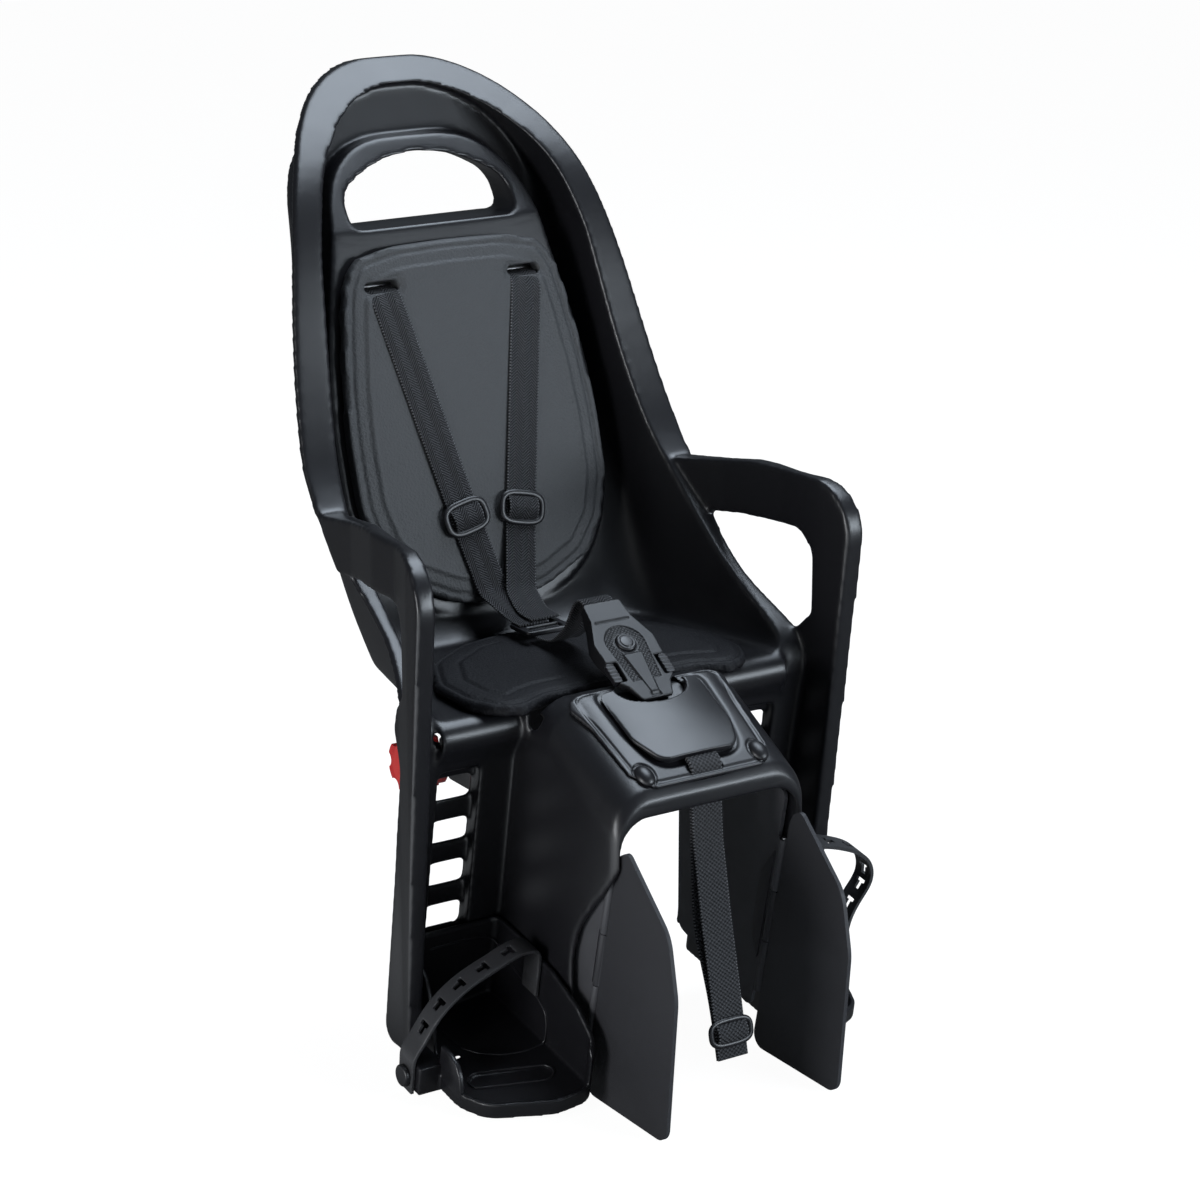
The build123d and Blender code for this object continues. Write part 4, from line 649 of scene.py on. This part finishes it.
# %% [markdown]
# ## Webbing
# The harness is woven webbing, 25 mm wide, with a herringbone twill between two stitched-looking edges. A
# flat box would look like rubber, so each strap is a band with thickened edges that bends smoothly along
# its way, and the twill is drawn across the band from its own length and width, with painted shade in its
# hollows and painted highlights on the edge dots.

# %% Woven finish
WEB = 25.0
TWILL_COLUMNS, TWILL_THREADS, TWILL_SLANT = 4.0, 11.0, 2.6
BASKET_ACROSS, BASKET_ALONG = 7, 8
EDGE_DOTS = 11
EDGE_FROM = 0.455


def woven(name, twill):
    """Webbing: slanted threads in columns, or a plain basket weave, and edges of dots; its colour has painted
    shade in the thread hollows, painted light on the crests and painted highlights on the edge dots.
    """
    material, tree, output = new_material(name)
    split = node(tree, "SeparateXYZ", Vector=node(tree, "TexCoord").outputs["UV"])
    across, along = split.outputs[0], split.outputs[1]

    def wave(value, times):
        """Wave that repeats so many times in a strap's width."""
        return calc(tree, "SINE", calc(tree, "MULTIPLY", value, times * tau))

    if twill:
        zigzag = calc(tree, "PINGPONG", calc(tree, "MULTIPLY", across, TWILL_COLUMNS), 1.0)
        rise = calc(tree, "MULTIPLY", along, TWILL_THREADS)
        thread = wave(calc(tree, "ADD", rise, calc(tree, "MULTIPLY", zigzag, TWILL_SLANT)), 1)
    else:
        thread = calc(tree, "MULTIPLY", wave(across, BASKET_ACROSS), wave(along, BASKET_ALONG))
    dots = wave(along, EDGE_DOTS)
    from_middle = calc(tree, "ABSOLUTE", calc(tree, "SUBTRACT", across, 0.5))
    edge = calc(tree, "GREATER_THAN", from_middle, EDGE_FROM)
    height = node(tree, "Mix", Factor=edge, i2=thread, i3=dots)
    fibre = node(tree, "TexNoise", Vector=node(tree, "TexCoord").outputs["Object"], Scale=1800.0, Detail=2.0)
    raised = calc(tree, "ADD", height.outputs[0], calc(tree, "MULTIPLY", fibre.outputs[0], 0.8))
    # Colour follows the height of the weave: the hollows between threads are painted darker and the crests
    # lighter as painted shade, and the fibre noise adds random tone.
    shade = rescaled(tree, raised, From_Min=-0.8, From_Max=1.4)
    tint = colour_between(tree, shade, (0.003, 0.003, 0.0035, 1), (0.058, 0.058, 0.062, 1))
    # The raised dots along both edges get a pale grey: painted highlights on the stitch dots.
    painted_dot_highlights = calc(tree, "MULTIPLY", edge, calc(tree, "GREATER_THAN", dots, 0.1))
    stitch_dot_highlight = colour_between(tree, painted_dot_highlights, tint, (0.12, 0.12, 0.125, 1))
    bump = node(tree, "Bump", Height=raised, Strength=0.9, Distance=0.0007)
    shader = node(tree, "BsdfPrincipled", Base_Color=stitch_dot_highlight, Roughness=0.62, Normal=bump.outputs[0],
                  Specular_IOR_Level=0.3)
    tree.links.new(shader.outputs[0], output.inputs[0])
    print("finish", name)
    return material


twill_web = woven("twill_web", True)
basket_web = woven("basket_web", False)


# %% Helpers for lines and tubes
def unit(directions):
    """Rows of directions, each made one long."""
    return directions / np.linalg.norm(directions, axis=1)[:, None]


def smooth_path(points, soften, step=1.5):
    """Evenly spaced points along a line whose corners are softened."""
    line = np.array(points, float)
    run = run_along(line[:, :3])
    even = sampled(line, run, np.linspace(0, run[-1], int(run[-1] / step) + 1))
    reach = max(1, int(soften / step))
    longer = np.pad(even, ((reach, reach), (0, 0)), mode="reflect", reflect_type="odd")
    return blurred(longer, np.hanning(2 * reach + 3)[1:-1])


def tube_faces(rows, ring, closed=False):
    """Side faces of a tube with rows of points, which may close on itself."""
    faces = []
    for row in range(rows if closed else rows - 1):
        here, there = row * ring, (row + 1) % rows * ring
        for k in range(ring):
            m = (k + 1) % ring
            faces.append((here + k, here + m, there + m, there + k))
    return faces


def mesh_of(name, points, faces):
    """A mesh from corner points in millimetres and faces."""
    mesh = bpy.data.meshes.new(name)
    mesh.from_pydata((points * MM).tolist(), [], faces)
    return mesh


# %% Band helper
BAND_POINTS = 21


def band(name, path, thick, lift=None):
    """Woven band along a path of points and cross directions, lifted out of its face by a rule."""
    line, across = path[:, :3], path[:, 3:]
    way = unit(np.gradient(line, axis=0))
    side = unit(across - (across * way).sum(axis=1)[:, None] * way)
    out = np.cross(way, side)
    run = run_along(line)
    middle = line if lift is None else line + out * lift(run)[:, None]
    share = np.linspace(-0.5, 0.5, BAND_POINTS)
    half = thick / 2 * (1 - 0.6 * np.abs(2 * share) ** 14 + 0.18 * bell(np.abs(share) - 0.45, 0.035))
    rows = []
    for place, sideways, outward in zip(middle, side, out):
        top = place + share[:, None] * WEB * sideways + half[:, None] * outward
        under = place + share[:, None] * WEB * sideways - half[:, None] * outward
        rows.append(np.concatenate([top, under[::-1]]))
    ring = 2 * BAND_POINTS
    faces = tube_faces(len(rows), ring)
    faces += [tuple(range(ring))[::-1], tuple(range(ring * (len(rows) - 1), ring * len(rows)))]
    mesh = mesh_of(name, np.concatenate(rows), faces)
    shares = np.concatenate([share, share[::-1]]) + 0.5
    places = [(share_here, run_here / WEB) for run_here in run for share_here in shares]
    weave = mesh.uv_layers.new(name="weave")
    weave.data.foreach_set("uv", np.array([places[k] for face in faces for k in face]).ravel())
    return piece_from_mesh(name, mesh)


# %% [markdown]
# ## Straps of the harness
# The shoulder straps leave the slots, run down through their rings and lie over each other at the yoke, from
# where one strap goes on to the buckle. The safety strap hangs from the pommel, doubled. Cloth could be
# draped for them, but a strap under pull is nearly straight between the places that hold it, so a few
# stops with softened corners give its line.

# %% Shoulder straps
RING_MIDDLE = np.array((24, 78.9, 168))
STRAP_OUT = np.array((59.5, 127.4, 326))
STRAP_DOWN = (RING_MIDDLE - STRAP_OUT) / np.linalg.norm(RING_MIDDLE - STRAP_OUT)
FLAT_ACROSS = np.array((1.0, 0, 0))
YOKE_Z = {"left": 102.4, "right": 99.6}
FOLD_Y = {"left": 56.7, "right": 62.3}
WEB_THICK = 1.7
ring_frames = {}
for side, sign in SIDES.items():
    mirror = np.array((sign, 1, 1))
    tilt = np.array((0.977, -0.06 * sign, -0.204 * sign))
    over = YOKE_Z[side]
    stops = [
        ((60.5, 146.9, 332), FLAT_ACROSS), ((60.5, 132.9, 332), FLAT_ACROSS), (STRAP_OUT, tilt),
        (RING_MIDDLE - STRAP_DOWN * 30, tilt), (RING_MIDDLE, tilt), (RING_MIDDLE + STRAP_DOWN * 14.4, tilt),
        ((10, FOLD_Y[side], 112), FLAT_ACROSS), ((5, 34, over + 1), FLAT_ACROSS), ((5, 24, over), FLAT_ACROSS),
        ((5, 14, over), FLAT_ACROSS),
    ]
    path = smooth_path([(*(np.array(place) * mirror), *across) for place, across in stops], 9)
    strap = band(f"shoulder_web_{side}", path, WEB_THICK)
    finish_piece(strap, "seat", twill_web, "webbing", f"shoulder_strap_{side}")
    way = STRAP_DOWN * mirror
    ring_frame = flat_frame(RING_MIDDLE * mirror, tilt - way * tilt.dot(way), -way)
    toward_child = -1 if ring_frame[1][2][1] > 0 else 1
    ring_frames[side] = (ring_frame, toward_child)
    print("shoulder strap", side, "runs", round(run_along(path[:, :3])[-1]), "mm")

# %% Buckle strap and safety strap
BUCKLE_WAY = [
    (9, 96.75), (5, 93.9), (-4, 93.9), (-20, 96), (-38, 110), (-52, 135), (-59.9, 137.9), (-65.5, 134.1),
]
SAFETY_WAY = [
    (-192.7, 59.1), (-198.6, 56.0), (-200.1, 49.4), (-200.1, 24), (-202.1, 0), (-213, -55), (-225, -105),
    (-235, -150),
]
SAFETY_THICK = 1.5
LAYER_LIFT = 0.85
path = smooth_path([(0, y, z, 1, 0, 0) for y, z in BUCKLE_WAY], 10)
buckle_web = band("buckle_web", path, WEB_THICK)
finish_piece(buckle_web, "seat", twill_web, "webbing", "buckle_strap")
path = smooth_path([(0, y, z, 1, 0, 0) for y, z in SAFETY_WAY], 5)
front_layer = band("safety_web_front", path, SAFETY_THICK, lambda run: np.full(len(run), LAYER_LIFT))
back_layer = band("safety_web_back", path, SAFETY_THICK, lambda run: -LAYER_LIFT - 8 * bell(run - 120, 45))
for layer in (front_layer, back_layer):
    finish_piece(layer, "seat", basket_web, "webbing", "safety_strap")
print("safety strap hangs", round(run_along(path[:, :3])[-1]), "mm")

# %% [markdown]
# ## Rings on the straps
# Both shoulder straps and the safety strap run through oval plastic rings and bulge a little over the bar. A
# torus would be too round, so a circle is bent towards a rounded square and a round bar follows it. A short
# arch of webbing over the bar shows that the strap is threaded.

# %% Ring helpers
RING_STEPS, BAR_STEPS = 72, 16
SQUARENESS = 0.62
BAR_WIDE = 0.55
BAR_LIFT, BAR_HALF = 2.2, 1.5
BULGE = [(-9.5, 0.6), (-6.5, 3.6), (-3, 5.2), (0, 5.6), (3, 5.2), (6.5, 3.6), (9.5, 0.6)]


def squared(wave):
    """Wave that bends a circle towards a rounded square."""
    return np.sign(wave) * np.abs(wave) ** SQUARENESS


def oval_ring(name, frame_here, toward_child, half_u, half_v, thick):
    """Oval ring of round bar, in a flat frame."""
    turns = np.linspace(0, tau, RING_STEPS, endpoint=False)
    loop = np.stack([half_u * squared(np.cos(turns)), half_v * squared(np.sin(turns))], axis=1)
    way = np.roll(loop, -1, axis=0) - np.roll(loop, 1, axis=0)
    outward = unit(np.stack([way[:, 1], -way[:, 0]], axis=1))
    points = []
    for place, out in zip(loop, outward):
        for angle in np.linspace(0, tau, BAR_STEPS, endpoint=False):
            flat = place + out * (thick * BAR_WIDE * cos(angle))
            points.append((*flat, toward_child * (BAR_LIFT + BAR_HALF * sin(angle))))
    faces = tube_faces(RING_STEPS, BAR_STEPS, closed=True)
    return piece_from_mesh(name, mesh_of(name, from_flat(frame_here, points), faces))


def web_over(name, frame_here, toward_child, reach, thick, material):
    """Short arch of webbing over the bar of a ring."""
    arch = from_flat(frame_here, [(0, along * reach, toward_child * lift) for along, lift in BULGE])
    loop = band(name, smooth_path([(*place, *frame_here[1][0]) for place in arch], 2, 0.6), thick)
    finish_piece(loop, "seat", material, "webbing")


# %% Rings
for side in SIDES:
    ring = oval_ring(f"oval_ring_{side}", *ring_frames[side], 17.0, 11.0, 4.4)
    finish_piece(ring, "seat", gloss_black, "gloss_plastic", f"strap_adjuster_{side}")
    web_over(f"ring_web_{side}", *ring_frames[side], 1, WEB_THICK, twill_web)
slide_frame = flat_frame((0, -231, -132), (1, 0, 0), (0, 10, 45))
slide = oval_ring("slide_ring", slide_frame, 1, 16.5, 8.5, 3.8)
finish_piece(slide, "seat", gloss_black, "gloss_plastic", "safety_strap_slider")
web_over("slide_web", slide_frame, 1, 0.85, SAFETY_THICK, basket_web)
print("each ring has", len(slide.data.polygons), "faces")

# %% [markdown]
# ## Buckle
# The buckle is a glossier moulding with fine relief: a stippled horseshoe round the button, a tapered rib
# below it and grip ridges on the side latches. The relief could be a bump in the finish, but it is deep
# enough to show at its edges, so the rounded solid gets small cubes and the relief is pressed into it.

# %% Relief of the buckle
BUCKLE_TILT = radians(33.8)
BUTTON_UP = 5
STIPPLE = 3.0
RIDGE = 3.2
buckle_frame = flat_frame((0, -104, 112), (1, 0, 0), (0, cos(BUCKLE_TILT), sin(BUCKLE_TILT)))


def buckle_rule(u, a, w):
    """Relief on the front of the buckle: stippled horseshoe, ring groove and tapered rib."""
    aside = np.abs(u)
    from_button = np.hypot(u, a - BUTTON_UP)
    rib_half = np.interp(a, (-40, -6), (3.4, 8.0))
    spine = (1 - step_up(aside, rib_half - 0.8, rib_half)) * step_up(a, -44, -40) * (1 - step_up(a, -6, -3))
    shoe_half = np.interp(a, (-28, BUTTON_UP), (12.0, 16.0))
    legs = (1 - step_up(aside, shoe_half - 0.8, shoe_half)) * step_up(a, -29, -28)
    shoe = np.where(a > BUTTON_UP, 1 - step_up(from_button, 15.2, 16), legs)
    shoe = shoe * step_up(from_button, 9.2, 9.8) * (1 - spine)
    dimples = 0.45 * np.cos(tau * u / STIPPLE) * np.cos(tau * a / STIPPLE)
    lines = shoe * (dimples - 0.7) - 0.8 * bell(from_button - 8.8, 0.6) + 0.7 * spine
    lines -= 0.8 * bell(a - 26, 0.8) * (1 - step_up(aside, 13, 15))
    lines -= 1.4 * (1 - step_up(aside, 3.5, 4.2)) * bell(a + 42, 1.6)
    return lines * step_up(w, -2.0, -0.8)


def button_rule(u, a, w):
    """Domed top of the button with a ring groove."""
    from_button = np.hypot(u, a - BUTTON_UP)
    dome = 0.9 * (1 - np.clip(from_button / 7.5, 0, 1) ** 2)
    return step_up(w, 0, 0.8) * (dome - 0.5 * bell(from_button - 5.2, 0.4))


def latch_rule(u, a, w):
    """Grip ridges on a side latch."""
    return step_up(w, -1.2, -0.7) * -0.35 * np.cos(tau * (a + 18) / RIDGE)


# %% Buckle
COARSER = 1
buckle_black = plastic("buckle_black", (0.008, 0.008, 0.009), (0.035, 0.035, 0.038), 0.42, 1500, 0.3,
                       sheen=0.35)
buckle_case = rounded_copy("buckle_body", "buckle_case", 0.0005 * COARSER, 4, 90000)
press(buckle_case, buckle_frame, buckle_rule)
finish_piece(buckle_case, "seat", buckle_black, "gloss_plastic", "buckle_body")
press_button = rounded_copy("buckle_button", "press_button", 0.0004 * COARSER, 4, 20000)
press(press_button, buckle_frame, button_rule)
finish_piece(press_button, "buckle_button", gloss_black, "gloss_plastic", "buckle_button")
for side in SIDES:
    body = f"buckle_latch_{side}"
    latch = rounded_copy(body, f"side_latch_{side}", 0.0004 * COARSER, 4, 16000)
    press(latch, buckle_frame, latch_rule)
    finish_piece(latch, body, gloss_black, "gloss_plastic", body)
print("buckle case has", len(buckle_case.data.polygons), "faces")

# %% [markdown]
# ## Pommel cover, lid and caps
# A smooth plate covers the pommel, with a groove along its border, a raised lid in its middle and two caps
# over its screws. Subdivided cages could make them, but the measured solids already fit the shell below, so
# they are rounded with small cubes and their crowns and grooves are pressed in. The caps are low domes.

# %% Pommel cover
POMMEL_MIDDLE = (0, -195, 52)
POMMEL_SLOPE = 0.52
POMMEL_STRETCH = sqrt(1 + POMMEL_SLOPE ** 2)
COVER_HALF = [
    (0, -113), (40, -113), (58, -119), (65, -128), (60, -150), (57, -190), (53, -200), (44, -204.5),
    (0, -204.5),
]
LID_HALF = [(0, 78.9), (42, 78.9), (41, 40), (35, 13), (29, 5.6), (0, 5.6)]
CAP_PLACE = (47.0, 1.1)
CAP_HALF = (6.8, 9.2)
pommel_frame = flat_frame(POMMEL_MIDDLE, (1, 0, 0), (0, 1, POMMEL_SLOPE))
cover_outline = closed_outline([(x, (y - POMMEL_MIDDLE[1]) * POMMEL_STRETCH) for x, y in COVER_HALF], 1.5)
lid_outline = closed_outline(LID_HALF, 1.5)


def cover_rule(u, a, w):
    """Falling border, outline groove, gap round the lid and ring recesses of the caps."""
    edge = gap_to(cover_outline, u, a)
    lines = -1.3 * (1 - step_up(edge, 0, 18)) - 0.8 * bell(edge - 4.0, 0.8)
    lines -= 1.7 * bell(gap_to(lid_outline, u, a) - 1.0, 2.4)
    from_cap = np.hypot((np.abs(u) - CAP_PLACE[0]) / CAP_HALF[0], (a - CAP_PLACE[1]) / CAP_HALF[1])
    lines -= 1.3 * bell(from_cap - 1.06, 0.10)
    return lines * step_up(w, 1.4, 2.6)


cover = rounded_copy("pommel_cover", "smooth_cover", 0.0009 * COARSER, 6, 70000)
press(cover, pommel_frame, cover_rule)
finish_piece(cover, "seat", gloss_black, "gloss_plastic", "pommel_cover")
print("cover has", len(cover.data.polygons), "faces")


# %% Pommel lid
def lid_rule(u, a, w):
    """Saddle of the lid: a broad crown along its middle and falling shoulders."""
    crown = 5.0 * (1 - (np.abs(u) / 42) ** 2) * (0.45 + 0.55 * step_up(a, 5, 50))
    return (crown - 1.6) * step_up(w, 4.2, 5.6)


lid = rounded_copy("pommel_lid", "saddle_lid", 0.0008 * COARSER, 10, 50000)
press(lid, pommel_frame, lid_rule)
finish_piece(lid, "seat", gloss_black, "gloss_plastic", "pommel_lid")
print("lid has", len(lid.data.polygons), "faces")

# %% Caps over the screws
DOME_STEPS = 10
CAP_BASE, CAP_RISE = 1.2, 5.0
domes = bmesh.new()
for sign in SIDES.values():
    rings = []
    for slope in np.linspace(0, pi / 2, DOME_STEPS):
        ring = []
        for angle in np.linspace(0, tau, ROUND_STEPS, endpoint=False):
            ring.append((sign * CAP_PLACE[0] + CAP_HALF[0] * cos(slope) * cos(angle),
                         CAP_PLACE[1] + CAP_HALF[1] * cos(slope) * sin(angle),
                         CAP_BASE + CAP_RISE * sin(slope)))
        rings.append(from_flat(pommel_frame, ring))
    domes.faces.new(ring_wall(domes, rings)[0][::-1])
bmesh.ops.remove_doubles(domes, verts=domes.verts, dist=JOIN)
caps = piece_from_shape("screw_caps", domes)
finish_piece(caps, "seat", gloss_black, "gloss_plastic", "cover_caps")
print("caps have", len(caps.data.polygons), "faces")

# %% [markdown]
# ## Footrests
# Each footrest is one moulding that slides in the ladder behind it, with thin raised ribs inside its cup. It
# is rounded like the shell, and its ribs are laid on as thin round bars, because small cubes would melt them
# away. All of it rides on the footrest's own body, so it goes up and down with its strap and button.

# %% Helpers for the footrests
LEG_TOP = (-86, 60)
LEAN_COS, LEAN_SIN = 0.98541, 0.17021
CUP_INNER = (83.5, -207)
CUP_FALL = 0.15
RIB_SIDES = 8


def leg_spot(x, along, height):
    """Place on the leaning leg wall: across, out of the wall and up the wall."""
    y = LEG_TOP[0] + LEAN_COS * along - LEAN_SIN * height
    z = LEG_TOP[1] + LEAN_SIN * along + LEAN_COS * height
    return x, y, z


def cup_floor(x):
    """Height of the cup's floor, which falls outwards."""
    return CUP_INNER[1] - CUP_FALL * (x - CUP_INNER[0])


def rib(name, path, radius):
    """Thin round rib along a path of points."""
    way = unit(np.gradient(path, axis=0))
    first = unit(np.cross(way, (0.31, 0.52, 0.79)))
    second = np.cross(way, first)
    turns = np.linspace(0, tau, RIB_SIDES, endpoint=False)[:, None]
    points = path[:, None] + radius * (np.cos(turns) * first[:, None] + np.sin(turns) * second[:, None])
    count = RIB_SIDES * len(path)
    faces = tube_faces(len(path), RIB_SIDES)
    faces += [tuple(range(RIB_SIDES)), tuple(range(count - RIB_SIDES, count))]
    return piece_from_mesh(name, mesh_of(name, points.reshape(-1, 3), faces))


def plate(name, corners, shift, round_by):
    """Flat plate between a ring of corner points and the same ring shifted, with soft edges."""
    piece = piece_from_shape(name, slab(corners, shift))
    soften_edges(piece, round_by * MM, 3, 30)
    settle(piece)
    return piece


# %% Lines of the ribs
WALL_LINE = [
    (141, -4.2, -160), (108, -4.2, -158.5), (96, -4.4, -160), (89, -6, -163), (87.2, -12, -167),
    (87.2, -34, -174), (87.2, -66, -178.5), (87.2, -77, -184), (87.2, -80.5, -195),
]
FLOOR_LINE = [(88, -80.5), (103.5, -80.2), (118, -75), (131, -64), (139, -50), (140, -32), (140, -10)]
OVAL_MIDDLE = (126, -99)
OVAL_TURN = radians(24)
OVAL_HALF, OVAL_ROUND = 21.5, 8.5
cup_line = WALL_LINE + [(x, along, cup_floor(x)) for x, along in FLOOR_LINE]
oval_line = []
for angle in np.linspace(0, tau, 49):
    u = OVAL_ROUND * cos(angle) + (OVAL_HALF if cos(angle) >= 0 else -OVAL_HALF)
    v = OVAL_ROUND * sin(angle)
    x = OVAL_MIDDLE[0] + u * cos(OVAL_TURN) - v * sin(OVAL_TURN)
    along = OVAL_MIDDLE[1] + u * sin(OVAL_TURN) + v * cos(OVAL_TURN)
    oval_line.append((x, along, cup_floor(x)))
print("rib lines have", len(cup_line), "and", len(oval_line), "points")

# %% Footrests
CUP_CUBE = 0.0009
RIB_RADIUS = 0.8
CHEEK = [(-70, -221), (-70, -194), (-82, -194.5), (-91, -197.5), (-97, -204), (-100, -213), (-100.5, -221)]
CHEEK_X, CHEEK_THICK = 163.5, 4
for side, sign in SIDES.items():
    body = f"footrest_{side}"
    cup = rounded_copy(body, f"foot_cup_{side}", CUP_CUBE, 5, 70000)
    finish_piece(cup, body, shell_plastic, "shell_plastic", body)
    for name, line, soften in (("cup_rib", cup_line, 6), ("oval_rib", oval_line, 1.5)):
        path = smooth_path([leg_spot(sign * x, along, height) for x, along, height in line], soften, 1.0)
        finish_piece(rib(f"{name}_{side}", path, RIB_RADIUS), body, shell_plastic, "shell_plastic")
    corners = [leg_spot(sign * CHEEK_X, along, height) for along, height in CHEEK]
    cup_cheek = plate(f"cup_cheek_{side}", corners, (sign * CHEEK_THICK, 0, 0), 1.2)
    finish_piece(cup_cheek, body, shell_plastic, "shell_plastic")
    print("footrest", side, "has", len(cup.data.polygons), "faces")

# %% [markdown]
# ## Inserts on the wheel guards
# A thin plate with a bent outline lies on the inner face of each wheel guard. It could be a line drawn in the
# finish, but a plate of its own with softened edges catches the light along its outline.

# %% Inserts on the wheel guards
INSERT = [(-185, -28), (-169, -48), (-160.5, -84), (-159.5, -100), (-164, -117), (-166, -114)]
INSERT_X, INSERT_THICK = 70.6, 1
for side, sign in SIDES.items():
    corners = [(sign * INSERT_X, y, z) for y, z in INSERT]
    insert = plate(f"guard_insert_{side}", corners, (-sign * INSERT_THICK, 0, 0), 0.4)
    finish_piece(insert, "seat", guard_grey, "dark_plastic")
    print("guard insert", side, "has", len(insert.data.polygons), "faces")

# %% [markdown]
# ## Plates, straps and hardware that keep their measured shape
# The wheel guards, rubber straps, pins, bars and the clamp are plain shapes. They could be rebuilt from
# cubes too, but flat plates would only lose their crispness, so the measured solids stay. Real edges are
# never quite sharp: a narrow bevel on each edge catches a thin line of light.

# %% Bevels and finishes for the measured solids
FINISH = {
    "shell_plastic": shell_plastic, "foam": back_foam_partly_painted_light, "webbing": twill_web, "gloss_plastic": gloss_black,
    "dark_plastic": guard_grey, "soft_rubber": rubber_black, "red_plastic": red_plastic,
    "black_metal": powder_coat, "steel": zinc_steel,
}
EDGE = {"soft_rubber": 0.0007, "dark_plastic": 0.0008, "red_plastic": 0.0016, "gloss_plastic": 0.0008}
OTHER_EDGE = 0.0004
slot_of = {row["node"]: row["material_slot"] for row in frame["record"]["subparts"]}
kept = []
for name, solid in nodes.items():
    solid.data.materials.clear()
    solid.data.materials.append(FINISH[slot_of[name]])
    if solid.hide_render:
        continue
    weld = solid.modifiers.new("weld", "WELD")
    weld.merge_threshold = JOIN
    soften_edges(solid, EDGE.get(slot_of[name], OTHER_EDGE), 2, 35)
    kept.append(name)
print("measured solids that stay:", ", ".join(kept))
